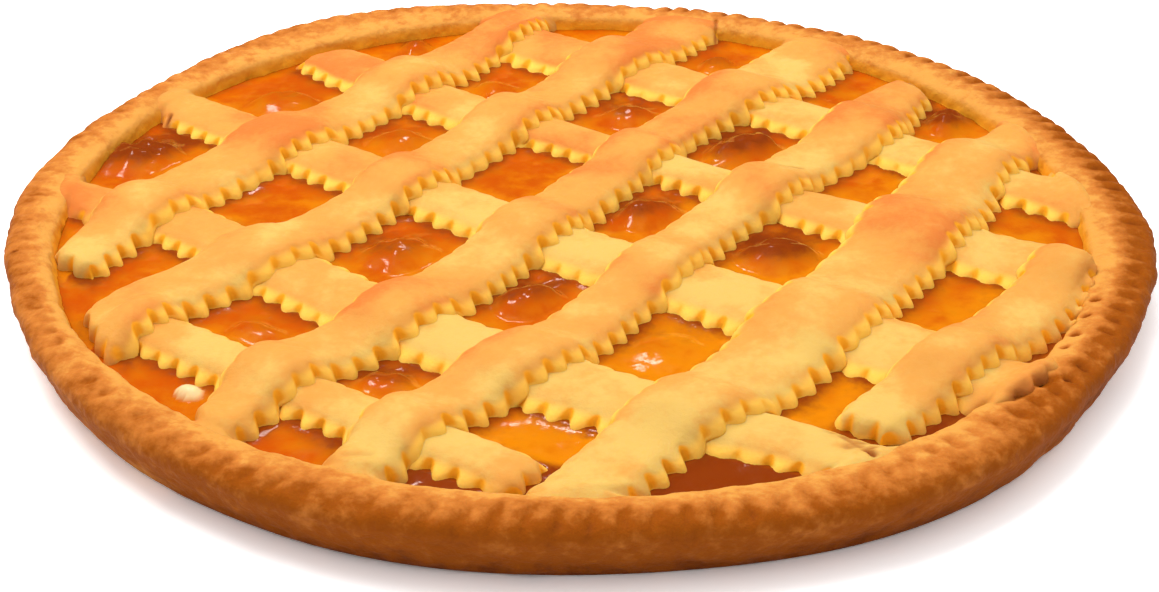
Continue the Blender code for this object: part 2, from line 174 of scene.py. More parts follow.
LOWER_STRIPS = (
    ("lattice_lower_1", ("cut", -61.2), ("cut", 50.0), (
        (-66, -101.5, 13.0), (-50, -102.5, 14.5), (-12, -105.0, 15.5), (28, -105.5, 15.6),
        (52, -106.0, 15.0))),
    ("lattice_lower_2", ("rim", 131.0), ("rim", 133.0), (
        (-122, -56.5, 15.0), (-93, -61.0, 18.5), (-50, -69.0, 22.5), (-15, -70.0, 22.0), (25, -69.0, 21.5),
        (68, -65.3, 19.5), (90, -67.5, 18.0), (116, -72.0, 16.0))),
    ("lattice_lower_3", ("over", 132.0), ("rim", 134.0), (
        (-134, -15.0, 23.0), (-96, -15.0, 26.5), (-53, -16.3, 25.5), (-15, -18.3, 23.0), (24, -17.3, 20.0),
        (65, -16.4, 21.5), (134, -15.5, 18.0))),
    ("lattice_lower_4", ("edge", None), ("edge", None), (
        (-120, 43.0, 22.0), (-98, 39.5, 25.0), (-53, 35.2, 21.0), (-14, 33.4, 17.0), (24, 32.3, 17.5),
        (66, 31.2, 21.5), (104, 35.0, 22.5), (118, 36.0, 20.0))),
    ("lattice_lower_5", ("rim", 132.5), ("cut", 82.0), (
        (-112, 77.0, 20.0), (-95, 77.3, 20.0), (-54, 79.5, 21.5), (-15, 82.8, 21.5), (23, 81.8, 23.5),
        (66, 81.0, 28.0), (84, 81.0, 25.0))),
)

# Jam swellings between the strips: along and across the lattice, half sizes, rise and how dark the skin is
JAM_SWELLINGS = (
    (57.0, -14.5, 12.5, 8.0, 3.6, 1.0),
    (-43.0, -16.5, 8.0, 6.5, 3.0, 0.75),
    (10.0, -14.5, 9.0, 7.0, 2.8, 0.8),
    (-43.0, 22.5, 10.0, 8.0, 2.4, 0.55),
    (11.0, -52.0, 10.0, 8.5, 2.9, 1.1),
    (106.0, -51.5, 8.0, 7.0, 3.0, 1.2),
    (57.0, 24.0, 8.0, 7.5, 2.6, 0.7),
    (-41.0, 113.0, 13.0, 9.0, 2.8, 1.1),
    (61.0, 102.5, 6.0, 4.5, 2.2, 0.6),
    (-90.5, 24.0, 5.0, 7.0, 1.6, 0.3),
    (-89.0, -14.5, 5.5, 6.5, 1.8, 0.6),
    (6.0, 64.5, 8.5, 8.0, 2.2, 0.35),
    (50.0, 65.5, 6.5, 7.0, 1.8, 0.2),
    (7.0, 106.5, 10.0, 8.5, 2.6, 0.3),
    (-43.0, -54.0, 9.0, 7.5, 0.8, 0.15),
    (103.5, 22.5, 6.5, 5.0, 2.0, 0.5),
)
NUT_BIT = (-117.6, 18.0, 2.5, 3.5, 1.9)

# Cracks, pits and folds in the dough: both ends along and across the lattice, half width, depth and darkness,
# which is painted shade in the cracks, pits and gaps
MARKS = (
    (44.8, -32.8, 47.7, -37.7, 0.40, 0.5, 0.45),
    (-120.9, -28.9, -118.1, -33.0, 1.1, 0.45, 0.12),
    (28.2, -124.5, 28.6, -124.9, 0.95, 1.3, 0.9),
    (19.9, -125.5, 20.3, -125.9, 0.85, 1.3, 0.9),
    (9.8, -127.1, 10.2, -127.5, 0.95, 1.3, 0.9),
    (3.3, -127.4, 3.6, -127.7, 0.8, 1.1, 0.8),
    (-54.0, -104.0, -56.0, -109.0, 0.9, 0.5, 0.4),
    (-57.2, -111.0, -58.2, -112.8, 0.8, 1.2, 0.9),
    (-27.0, 120.3, -22.2, 122.4, 0.5, 1.2, 1.0),
    (-102.8, 90.8, -102.5, 90.6, 0.5, 0.1, 1.0),
    (-81.4, 110.2, -79.0, 107.0, 0.45, 0.35, 0.4),
    (124.8, 36.3, 117.0, 31.4, 0.45, 0.7, 0.7),
    (117.6, -29.4, 116.0, -35.9, 0.5, 0.6, 0.8),
    (116.0, -35.9, 113.2, -43.0, 0.5, 0.6, 0.8),
    (-53.4, -101.2, -52.0, -102.1, 1.2, 0.5, 0.25),
    (-53.5, -104.3, -52.1, -105.2, 1.0, 0.7, 0.45),
    (-54.5, -107.3, -53.1, -108.2, 1.3, 0.6, 0.35),
    (-56.9, -110.6, -55.5, -111.5, 0.9, 0.7, 0.5),
    (-57.5, -106.8, -56.1, -107.7, 1.1, 0.5, 0.3),
    (-22.5, -127.0, -18.8, -127.9, 1.5, 0.9, 0.45),
    (-14.5, -129.6, -11.6, -130.8, 1.4, 1.0, 0.65),
    (-10.2, -133.6, -9.6, -134.0, 0.7, 1.0, 0.8),
)


def soft_step(value, low, high):
    """Share from 0 at low to 1 at high, eased at both ends."""
    share = np.clip((value - low) / (high - low), 0.0, 1.0)
    return share * share * (3 - 2 * share)


def noise_table(seed):
    """Random values on a wrapping lattice."""
    return np.random.default_rng(seed).uniform(-1.0, 1.0, (NOISE_CELLS, NOISE_CELLS, NOISE_CELLS))


def grain(points, size, seed):
    """Smooth unevenness from -1 to 1 at points in millimetres, with bumps of about the given size."""
    table = noise_table(seed)
    scaled = np.asarray(points, float) / size + 500.0
    cell = np.floor(scaled).astype(int)
    part = scaled - cell
    part = part ** 3 * (part * (part * 6 - 15) + 10)
    total = np.zeros(scaled.shape[:-1])
    for corner in range(8):
        step = np.array([corner & 1, (corner >> 1) & 1, (corner >> 2) & 1])
        place = (cell + step) % NOISE_CELLS
        weight = np.prod(np.where(step == 1, part, 1 - part), axis=-1)
        total += weight * table[place[..., 0], place[..., 1], place[..., 2]]
    return total


def layered_grain(points, size, seed, layers=3, fall=0.5):
    """Unevenness in several sizes, each half the last."""
    total = 0.0
    weight = 1.0
    for layer in range(layers):
        total = total + weight * grain(points, size / 2 ** layer, seed + layer)
        weight *= fall
    return total


def stack(x, y, z=None):
    """Array of points from their coordinates."""
    if z is None:
        z = np.zeros(np.shape(x))
    return np.stack([x, y, z + np.zeros(np.shape(x))], axis=-1)


def inner_waves(angle):
    """Small waves that the rim's inner and outer edges share."""
    return 0.3 * np.sin(2 * angle + 0.6) + 0.25 * np.sin(5 * angle + 2.1)


def radius_drift(angle):
    """Unevenness of the hand-shaped rim's outer radius."""
    waves = sum(size * np.cos(count * angle - phase) for count, size, phase in OUTLINE_WAVES)
    return inner_waves(angle) + waves


def inner_drift(angle):
    """Unevenness of the rim's inner edge, narrower on the left."""
    return inner_waves(angle) + 1.6 * np.cos(angle - NARROW_RIM_ANGLE)


def height_drift(angle):
    """Unevenness of the rim's height."""
    return 0.25 * np.sin(3 * angle + 1.0) + 0.15 * np.sin(7 * angle + 0.4)


def drift_at(radius, angle):
    """Unevenness of the radius, from the inner edge's on the inside to the wall's on the outside."""
    share = soft_step(radius, INNER_EDGE_RADIUS, SHOULDER_RADIUS)
    return (1 - share) * inner_drift(angle) + share * radius_drift(angle)


def even_radius(x, y):
    """Radius in the crust's even section of a plan point."""
    angle = np.arctan2(y, x)
    distance = np.hypot(x, y)
    radius = distance - inner_drift(angle)
    for _ in range(4):
        radius = distance - drift_at(radius, angle)
    return radius


def true_radius(x, y):
    """Radius with the inner edge's unevenness taken out."""
    return np.hypot(x, y) - inner_drift(np.arctan2(y, x))


def smooth_curve(points, count):
    """Even points along a smooth curve through rows of radius, height and more, and their distances."""
    knots = np.array(points, float)
    columns = range(knots.shape[1])
    spans = np.concatenate([[0.0], np.cumsum(np.hypot(*np.diff(knots[:, :2], axis=0).T))])
    dense = np.linspace(0.0, spans[-1], CURVE_STEPS * len(knots))
    curve = np.stack([eased(spans, knots[:, column], dense) for column in columns], axis=-1)
    lengths = np.concatenate([[0.0], np.cumsum(np.hypot(*np.diff(curve[:, :2], axis=0).T))])
    places = np.linspace(0.0, lengths[-1], count)
    return np.stack([np.interp(places, lengths, curve[:, column]) for column in columns], axis=-1), places


def eased(knots, values, places):
    """Values at places, eased between knots with slopes from their neighbours."""
    index = np.clip(np.searchsorted(knots, places, side="right") - 1, 0, len(knots) - 2)
    slopes = np.empty(len(knots))
    slopes[1:-1] = (values[2:] - values[:-2]) / (knots[2:] - knots[:-2])
    slopes[0] = (values[1] - values[0]) / (knots[1] - knots[0])
    slopes[-1] = (values[-1] - values[-2]) / (knots[-1] - knots[-2])
    span = knots[index + 1] - knots[index]
    share = np.clip((places - knots[index]) / span, 0.0, 1.0)
    return ((2 * share ** 3 - 3 * share ** 2 + 1) * values[index]
            + (share ** 3 - 2 * share ** 2 + share) * slopes[index] * span
            + (3 * share ** 2 - 2 * share ** 3) * values[index + 1]
            + (share ** 3 - share ** 2) * slopes[index + 1] * span)


def rim_top(x, y):
    """Height of the crust's upper face at a plan point: the rim, its inner face and the floor."""
    section, _ = smooth_curve(CRUST_SECTION, PROFILE_ROWS)
    upper = section[np.argmax(section[:, 0]):][::-1]
    radius = even_radius(x, y)
    height = np.interp(radius, upper[:, 0], upper[:, 1])
    return height * (1 + height_drift(np.arctan2(y, x)) / RIM_HEIGHT)


def marks_at(x, y):
    """Depth of the small marks at plan points, in millimetres, and how dark they are, as painted shade."""
    along, across = plan_to_lattice(x, y)
    depth = np.zeros(np.shape(x))
    dark = np.zeros(np.shape(x))
    for first_along, first_across, last_along, last_across, half_width, deepest, darkest in MARKS:
        run = np.array([last_along - first_along, last_across - first_across])
        share = ((along - first_along) * run[0] + (across - first_across) * run[1]) / (run @ run)
        share = np.clip(share, 0.0, 1.0)
        gap = np.hypot(along - first_along - share * run[0], across - first_across - share * run[1])
        near = np.exp(-(gap / half_width) ** 2)
        depth = np.maximum(depth, deepest * near)
        dark = np.maximum(dark, darkest * near)
    return depth, dark


def lattice_to_plan(along, across):
    """Plan position of a point given along and across the upper strips."""
    return (along * math.cos(LATTICE_TURN) - across * math.sin(LATTICE_TURN),
            along * math.sin(LATTICE_TURN) + across * math.cos(LATTICE_TURN))


def plan_to_lattice(x, y):
    """Position along and across the upper strips of a plan point."""
    return (x * math.cos(LATTICE_TURN) + y * math.sin(LATTICE_TURN),
            -x * math.sin(LATTICE_TURN) + y * math.cos(LATTICE_TURN))


def rows_at(rows, distance):
    """Offset and width of a strip at distances along it."""
    table = np.array(rows, float)
    place = np.clip(distance, table[0, 0], table[-1, 0])
    return eased(table[:, 0], table[:, 1], place), eased(table[:, 0], table[:, 2], place)


def strip_plan(rows, is_upper, distance, share):
    """Plan position at distances along a strip and shares of its half width."""
    offset, width = rows_at(rows, distance)
    across = offset + share * width / 2
    if is_upper:
        return lattice_to_plan(distance, across)
    return lattice_to_plan(across, distance)


def distance_at_radius(rows, is_upper, share, radius, sign):
    """Distance along each line of a strip at which it reaches a radius."""
    low = np.zeros(np.shape(share))
    high = np.full(np.shape(share), OUTSIDE_RADIUS)
    for _ in range(HALVINGS):
        middle = (low + high) / 2
        inside = true_radius(*strip_plan(rows, is_upper, sign * middle, share)) < radius
        low = np.where(inside, middle, low)
        high = np.where(inside, high, middle)
    return sign * low


def end_distances(strip_end, rows, is_upper, share, sign):
    """Distances at which the lines of a strip end, and at which they start to climb the rim."""
    kind, limit = strip_end
    if kind == "cut":
        ends = np.full(np.shape(share), float(limit))
        return ends, ends
    if kind == "edge":
        ends = distance_at_radius(rows, is_upper, share, INSIDE_RADIUS - 0.2, sign)
        return ends, ends
    ends = distance_at_radius(rows, is_upper, share, limit, sign)
    return ends, distance_at_radius(rows, is_upper, share, CLIMB_START_RADIUS, sign)


def strip_section(power_across, power_up, count, half_width=10.0, height=4.0):
    """Even points over a strip's section: share of the half width and share of the height."""
    turn = np.linspace(0.0, math.pi, ARC_STEPS)
    across = -np.sign(np.cos(turn)) * np.abs(np.cos(turn)) ** (2 / power_across)
    up = np.abs(np.sin(turn)) ** (2 / power_up)
    lengths = np.concatenate([[0.0], np.cumsum(np.hypot(np.diff(across) * half_width, np.diff(up) * height))])
    places = np.linspace(0.0, lengths[-1], count)
    return np.interp(places, lengths, across), np.interp(places, lengths, up)


def blurred(field, reach, axis):
    """Field smoothed along one axis, with its ends held."""
    radius = int(3 * reach) + 1
    offsets = np.arange(-radius, radius + 1)
    weights = np.exp(-0.5 * (offsets / reach) ** 2)
    weights /= weights.sum()
    padding = [(radius, radius) if index == axis else (0, 0) for index in range(field.ndim)]
    padded = np.pad(field, padding, mode="edge")
    return np.apply_along_axis(lambda line: np.convolve(line, weights, mode="valid"), axis, padded)


def tooth_lobes(distance, pitch, phase, seed):
    """Pinked edge along a distance: 1 on the round lobes and 0 in the notches between them."""
    wander = grain(stack(distance, np.full(np.shape(distance), 7.0 * seed)), 16.0, seed)
    turn = distance / pitch + phase + 0.32 * wander
    return np.abs(np.cos(np.pi * turn)) ** 1.15


def grid_faces(rows, columns, closed):
    """Quads of a grid of points, row by row, whose columns close on themselves if asked."""
    across = columns if closed else columns - 1
    row, column = np.meshgrid(np.arange(rows - 1), np.arange(across), indexing="ij")
    following = (column + 1) % columns
    quads = [row * columns + column, row * columns + following,
             (row + 1) * columns + following, (row + 1) * columns + column]
    return np.stack(quads, axis=-1).reshape(-1, 4)


def tube_faces(points):
    """Faces of a tube of rings of points, with a cap on both ends."""
    rings, around = points.shape[:2]
    last = (rings - 1) * around
    return grid_faces(rings, around, True).tolist() + [list(range(around)), list(range(last, last + around))]


def mesh_piece(name, points, faces, values, material):
    """Smooth shaded piece from points in millimetres, faces and named values of its points."""
    mesh = bpy.data.meshes.new(name)
    mesh.from_pydata((points.reshape(-1, 3) * MM).tolist(), [], faces)
    mesh.validate()
    for label, array in values.items():
        layer = mesh.attributes.new(name=label, type="FLOAT", domain="POINT")
        layer.data.foreach_set("value", np.ascontiguousarray(array, dtype=np.float32).ravel())
    builder = bmesh.new()
    builder.from_mesh(mesh)
    bmesh.ops.recalc_face_normals(builder, faces=builder.faces)
    builder.to_mesh(mesh)
    builder.free()
    mesh.shade_smooth()
    mesh.materials.append(material)
    piece = bpy.data.objects.new(name, mesh)
    bpy.context.scene.collection.objects.link(piece)
    return piece


def stand_for(piece, node):
    """Let a piece ride the tart's body in place of a solid."""
    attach(piece, "root")
    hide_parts(node)


def length_setting(name, description, value):
    """Length property with its default in metres."""
    return bpy.props.FloatProperty(name=name, description=description, default=value, unit="LENGTH")


def angle_setting(name, description, value):
    """Angle property with its default in radians."""
    return bpy.props.FloatProperty(name=name, description=description, default=value, subtype="ANGLE")


def number_setting(name, description, value):
    """Plain number property with its default."""
    return bpy.props.FloatProperty(name=name, description=description, default=value)


def colour_setting(name, description, value):
    """Colour property with its default."""
    return bpy.props.FloatVectorProperty(
        name=name, description=description, default=value, size=3, subtype="COLOR", min=0.0, max=1.0)


class CrustSizes(bpy.types.PropertyGroup):
    """Sizes of the crust's detail."""

    crimp_count: bpy.props.IntProperty(
        name="Crimps", description="Number of crimps round the rim", default=138, min=12)
    crimp_depth: length_setting("Crimp depth", "How deep a crimp is pressed", 0.0011)
    unevenness: length_setting("Unevenness", "Height of the baked dough's waves", 0.0004)


class JamSizes(bpy.types.PropertyGroup):
    """Sizes of the jam's surface."""

    level: length_setting("Level", "Height of the jam's flat surface", 0.0100)
    wrinkle: length_setting("Wrinkles", "Height of the wrinkles in the jam's skin", 0.0002)
    climb: length_setting("Climb", "How far the jam climbs up the dough", 0.0006)
    spacing: length_setting("Spacing", "Distance between the mesh's points", 0.00085)


class StripSizes(bpy.types.PropertyGroup):
    """Sizes of the lattice's strips."""

    lower_thickness: length_setting("Lower thickness", "Thickness of the lower strips", 0.0036)
    upper_thickness: length_setting("Upper thickness", "Thickness of the upper strips", 0.0043)
    tooth_pitch: length_setting("Tooth pitch", "Distance between the teeth of the pinked edges", 0.0058)
    tooth_depth: length_setting("Tooth depth", "Depth of the notches between the teeth", 0.0021)
    puffiness: length_setting("Puffiness", "Height of the waves in the baked crowns", 0.00045)
    spacing: length_setting("Spacing", "Distance between the mesh's points", 0.00062)


class TartColours(bpy.types.PropertyGroup):
    """Colours of the tart, from pale dough to dark jam."""

    pale_dough: colour_setting("Pale dough", "Dough that lay low and baked least", (0.60, 0.373, 0.090))
    golden_dough: colour_setting("Golden dough", "Crowns of the strips", (0.60, 0.267, 0.050))
    blushed_dough: colour_setting(
        "Blushed dough", "Crowns that stood high in the oven", (0.573, 0.160, 0.027))
    # Cut sides are paler than the crowns, and this colour is brighter still as painted light on the sides in
    # shade
    cut_dough_and_painted_light: colour_setting("Cut dough", "Cut sides of the strips", (0.88, 0.50, 0.075))
    # In the notches this amber is partly painted shade, the deeper colour that the recesses show
    amber_dough: colour_setting(
        "Amber dough", "Notches of the strips and the rim's inner face", (0.80, 0.33, 0.012))
    rim_dough: colour_setting("Rim", "Upper face of the rim", (0.48, 0.150, 0.0225))
    wall_dough: colour_setting("Wall", "Outside of the crust", (0.27, 0.060, 0.0012))
    # Burnt dough also paints the deepest shade: in the marks, in the browned end's notches and in the crust's
    # near side and dents
    burnt_and_shaded_dough: colour_setting("Burnt", "Darkest marks of the crust", (0.15, 0.028, 0.0013))
    bright_jam: colour_setting("Bright jam", "Thin flat jam", (0.445, 0.067, 0.0004))
    # Amber jam also paints light beside the strips' lit edges
    amber_jam: colour_setting("Amber jam", "Clear jam over pale dough", (0.58, 0.175, 0.0006))
    # Dark jam also paints shade along the strips' edges
    dark_jam: colour_setting("Dark jam", "Skin on the swellings", (0.20, 0.030, 0.0015))
    nut: colour_setting("Nut", "Creamy nut bit in the jam", (0.72, 0.53, 0.26))


class StudioSetup(bpy.types.PropertyGroup):
    """Camera and light of the studio."""

    lens: number_setting("Lens", "Focal length on a 36 mm sensor, in millimetres", 57.463)
    distance: length_setting("Distance", "From the camera to the middle of the underside", 0.47278814)
    elevation: angle_setting("Elevation", "Camera's angle above the table", 0.490260473)
    pan: angle_setting("Pan", "Camera's turn", -0.000970724)
    tilt: angle_setting("Tilt", "Camera's tilt", -0.0254867933)
    roll: angle_setting("Roll", "Camera's roll", -0.0100275659)
    sky: number_setting("Sky", "Strength of the even light from above", 1.27)
    key: number_setting("Key", "Power of the large lamp above, in watts", 8.2)
    glint: number_setting("Glint", "Power of a small lamp that the jam mirrors, in watts", 0.5)
    floor: colour_setting("Floor", "Colour of the pale floor", (0.88, 0.88, 0.88))
    floor_gain: number_setting("Floor gain", "How much brighter the camera sees the floor", 1.5)


# Materials

def add_node(tree, kind, **settings):
    """Node of a kind, with its settings and the defaults of its inputs."""
    node = tree.nodes.new(kind)
    inputs = settings.pop("inputs", {})
    for label, value in settings.items():
        setattr(node, label, value)
    for label, value in inputs.items():
        node.inputs[label].default_value = value
    return node


def link(tree, source, output, target, entry):
    """Link of an output to an input."""
    tree.links.new(source.outputs[output], target.inputs[entry])


def new_group(name, entries, exits):
    """Shader node group of plain numbers, with its input, output and coordinate nodes."""
    group = bpy.data.node_groups.new(name, "ShaderNodeTree")
    for label, value in entries:
        socket = group.interface.new_socket(label, in_out="INPUT", socket_type="NodeSocketFloat")
        socket.default_value = value
    for label in exits:
        group.interface.new_socket(label, in_out="OUTPUT", socket_type="NodeSocketFloat")
    kinds = ("NodeGroupInput", "NodeGroupOutput", "ShaderNodeTexCoord")
    return (group, *(group.nodes.new(kind) for kind in kinds))


def mottle_group():
    """Effect that turns positions into soft blotches and fine specks, from about -1 to 1."""
    group = bpy.data.node_groups.get("Baked mottle")
    if group:
        return group
    group, entry, exit_node, place = new_group(
        "Baked mottle", (("Blotch scale", 90.0), ("Speck scale", 700.0)), ("Blotches", "Specks"))
    for scale, label, detail in (("Blotch scale", "Blotches", 5.0), ("Speck scale", "Specks", 3.0)):
        cloud = add_node(group, "ShaderNodeTexNoise", inputs={"Detail": detail, "Roughness": 0.6})
        link(group, place, "Object", cloud, "Vector")
        link(group, entry, scale, cloud, "Scale")
        centred = add_node(group, "ShaderNodeMapRange", clamp=False,
                           inputs={"From Min": 0.3, "From Max": 0.7, "To Min": -1.0})
        link(group, cloud, "Fac", centred, "Value")
        link(group, centred, "Result", exit_node, label)
    return group


def crumb_group():
    """Effect that gives the fine broken grain of baked shortcrust as a height."""
    group = bpy.data.node_groups.get("Shortcrust grain")
    if group:
        return group
    group, entry, exit_node, place = new_group(
        "Shortcrust grain", (("Grain scale", 900.0), ("Pore scale", 420.0), ("Pores", 0.3)), ("Height",))
    fine = add_node(group, "ShaderNodeTexNoise", inputs={"Detail": 4.0, "Roughness": 0.65})
    pores = add_node(group, "ShaderNodeTexVoronoi", feature="SMOOTH_F1", inputs={"Smoothness": 0.6})
    depth = add_node(group, "ShaderNodeMapRange", inputs={"From Min": 0.0, "From Max": 0.35})
    blend = add_node(group, "ShaderNodeMath", operation="MULTIPLY_ADD")
    link(group, place, "Object", fine, "Vector")
    link(group, place, "Object", pores, "Vector")
    link(group, entry, "Grain scale", fine, "Scale")
    link(group, entry, "Pore scale", pores, "Scale")
    link(group, pores, "Distance", depth, "Value")
    link(group, depth, "Result", blend, 0)
    link(group, entry, "Pores", blend, 1)
    link(group, fine, "Fac", blend, 2)
    link(group, blend, "Value", exit_node, "Height")
    return group


def place_group(tree, group, **values):
    """Group placed in a material with its own values."""
    node = tree.nodes.new("ShaderNodeGroup")
    node.node_tree = group
    for label, value in values.items():
        node.inputs[label.replace("_", " ")].default_value = value
    return node


def mix_colours(tree, share, first, second):
    """Mix node of two colours by a linked share; a colour is a value or a linked output."""
    mix = add_node(tree, "ShaderNodeMix", data_type="RGBA")
    tree.links.new(share, mix.inputs["Factor"])
    for entry, value in (("A", first), ("B", second)):
        socket = [item for item in mix.inputs if item.name == entry and item.type == "RGBA"][0]
        if isinstance(value, bpy.types.NodeSocket):
            tree.links.new(value, socket)
        else:
            socket.default_value = (*value, 1.0)
    return [item for item in mix.outputs if item.type == "RGBA"][0]


def reach_share(tree, source, low, high):
    """Share from 0 to 1 as a linked value goes from low to high."""
    node = add_node(tree, "ShaderNodeMapRange", interpolation_type="SMOOTHSTEP",
                    inputs={"From Min": low, "From Max": high})
    tree.links.new(source, node.inputs["Value"])
    return node.outputs["Result"]


def weighed_sum(tree, *terms):
    """Sum of linked values, each times its weight."""
    total = None
    for source, weight in terms:
        node = add_node(tree, "ShaderNodeMath", operation="MULTIPLY_ADD")
        tree.links.new(source, node.inputs[0])
        node.inputs[1].default_value = weight
        if total is None:
            node.inputs[2].default_value = 0.0
        else:
            tree.links.new(total, node.inputs[2])
        total = node.outputs["Value"]
    return total


def named_value(tree, label):
    """Value that the mesh holds under a name."""
    return add_node(tree, "ShaderNodeAttribute", attribute_name=label).outputs["Fac"]


def new_material(name):
    """Empty material: its tree and its Principled shader."""
    material = bpy.data.materials.new(name)
    material.use_nodes = True
    return material, material.node_tree, material.node_tree.nodes["Principled BSDF"]


def finish_shader(tree, shader, paint, specks, height, rough, specular, glow, bump):
    """Give a shader its colour, range of roughness, gloss, glow from below the surface and bump."""
    tree.links.new(paint, shader.inputs["Base Color"])
    spread = add_node(tree, "ShaderNodeMapRange",
                      inputs={"From Min": -1.0, "To Min": rough[0], "To Max": rough[1]})
    tree.links.new(specks, spread.inputs["Value"])
    link(tree, spread, "Result", shader, "Roughness")
    shader.inputs["Specular IOR Level"].default_value = specular
    for entry, value in zip(("Subsurface Weight", "Subsurface Radius", "Subsurface Scale"), glow):
        shader.inputs[entry].default_value = value
    relief = add_node(tree, "ShaderNodeBump", inputs={"Strength": bump[0], "Distance": bump[1]})
    tree.links.new(height, relief.inputs["Height"])
    link(tree, relief, "Normal", shader, "Normal")


def dough_material(name, colours):
    """Finish of the strips: golden crowns, blushed high parts, pale cut sides brightened as painted light,
    and amber notches partly painted shade.
    """
    material, tree, shader = new_material(name)
    mottle = place_group(tree, mottle_group(), Blotch_scale=75.0, Speck_scale=420.0)
    blotches, specks = mottle.outputs["Blotches"], mottle.outputs["Specks"]
    blush = weighed_sum(tree, (named_value(tree, "blush"), 1.0), (blotches, 0.27), (specks, 0.11))
    side = weighed_sum(tree, (named_value(tree, "side"), 1.0), (blotches, 0.10))
    amber = weighed_sum(tree, (named_value(tree, "notch"), 1.0), (specks, 0.06))
    paint = colours.pale_dough
    for share, layer in ((reach_share(tree, blush, -0.1, 0.55), colours.golden_dough),
                         (reach_share(tree, blush, 0.5, 1.3), colours.blushed_dough),
                         (named_value(tree, "rim"), colours.rim_dough),
                         # Pale cut sides, brightened as painted light
                         (reach_share(tree, side, 0.2, 1.0), colours.cut_dough_and_painted_light),
                         # Amber notches, partly painted shade in the recesses
                         (reach_share(tree, amber, 0.15, 0.65), colours.amber_dough),
                         (named_value(tree, "burn_and_shade"), colours.burnt_and_shaded_dough)):
        paint = mix_colours(tree, share, paint, layer)
    crumb = place_group(tree, crumb_group(), Grain_scale=650.0, Pore_scale=300.0, Pores=0.25)
    finish_shader(tree, shader, paint, specks, crumb.outputs["Height"], (0.50, 0.66), 0.10,
                  (0.25, (1.0, 0.45, 0.12), 0.003), (0.55, 0.0004))
    material.diffuse_color = (*colours.golden_dough, 1.0)
    return material


def crust_material(colours):
    """Finish of the crust: golden rim, browner wall with mottling and small burnt marks, and painted shade on
    the near side and in dents, hollows and marks.
    """
    material, tree, shader = new_material("baked_crust_look")
    mottle = place_group(tree, mottle_group(), Blotch_scale=170.0, Speck_scale=900.0)
    wide = place_group(tree, mottle_group(), Blotch_scale=50.0, Speck_scale=380.0)
    bake_and_shade = weighed_sum(tree, (named_value(tree, "bake_and_shade"), 1.0), (mottle.outputs["Blotches"], 0.28),
                       (wide.outputs["Blotches"], 0.16), (wide.outputs["Specks"], 0.20))
    paint = colours.golden_dough
    # Baking with painted shade: the darker values bring in the wall and burnt colours
    for share, layer in ((reach_share(tree, bake_and_shade, -0.1, 0.5), colours.rim_dough),
                         (reach_share(tree, bake_and_shade, 0.35, 1.1), colours.wall_dough),
                         (reach_share(tree, bake_and_shade, 1.1, 2.0), colours.burnt_and_shaded_dough),
                         (named_value(tree, "inside"), colours.amber_dough)):
        paint = mix_colours(tree, share, paint, layer)
    crumb = place_group(tree, crumb_group(), Grain_scale=700.0, Pore_scale=330.0, Pores=0.45)
    finish_shader(tree, shader, paint, mottle.outputs["Specks"], crumb.outputs["Height"], (0.55, 0.75), 0.06,
                  (0.12, (1.0, 0.4, 0.1), 0.002), (0.6, 0.0006))
    material.diffuse_color = (*colours.rim_dough, 1.0)
    return material


def jam_material(colours):
    """Finish of the jam: bright and clear where it is thin, dark skin on the swellings, painted shade and
    light beside the strips, glossy all over.
    """
    material, tree, shader = new_material("apricot_jam_look")
    mottle = place_group(tree, mottle_group(), Blotch_scale=120.0, Speck_scale=480.0)
    blotches, specks = mottle.outputs["Blotches"], mottle.outputs["Specks"]
    # Dark: the swellings' skin and the edge value, which is darker jam against the dough and painted shade
    # beside the strips
    dark = weighed_sum(tree, (named_value(tree, "skin"), 1.0), (named_value(tree, "edge"), 1.0),
                       (blotches, 0.16), (specks, 0.08))
    # Clear: clear jam over part of the lattice and painted light beside the strips' lit edges
    clear = weighed_sum(tree, (named_value(tree, "clear"), 1.0), (blotches, 0.5))
    paint = colours.bright_jam
    for share, layer in ((reach_share(tree, clear, -0.2, 1.1), colours.amber_jam),
                         (reach_share(tree, dark, 0.1, 1.1), colours.dark_jam),
                         (named_value(tree, "nut"), colours.nut)):
        paint = mix_colours(tree, share, paint, layer)
    ripple = add_node(tree, "ShaderNodeTexNoise", inputs={"Scale": 330.0, "Detail": 2.0})
    place = tree.nodes.new("ShaderNodeTexCoord")
    link(tree, place, "Object", ripple, "Vector")
    finish_shader(tree, shader, paint, specks, ripple.outputs["Fac"], (0.06, 0.17), 0.35,
                  (0.12, (1.0, 0.25, 0.03), 0.002), (0.22, 0.0005))
    material.diffuse_color = (*colours.bright_jam, 1.0)
    return material


# Crust

def stretch_share(angle, stretch):
    """Share from 0 to 1 towards the middle of a stretch of the rim."""
    middle, width = stretch
    return np.exp(-((np.degrees(angle) % 360.0 - middle) / width) ** 2)


def crimp_radius(angle):
    """Radius of the middle of the crimps, which stray inwards on the near right."""
    inwards = stretch_share(angle, STRAY_STRETCH)
    outwards = soft_step(np.sin(angle), -0.2, 0.3) + stretch_share(angle, FLUTED_STRETCH)
    around = stack(90.0 * np.cos(angle), 90.0 * np.sin(angle))
    return CRIMP_MIDDLE_RADIUS - 3.9 * inwards + 1.6 * outwards + 0.6 * grain(around, 11.0, 33)


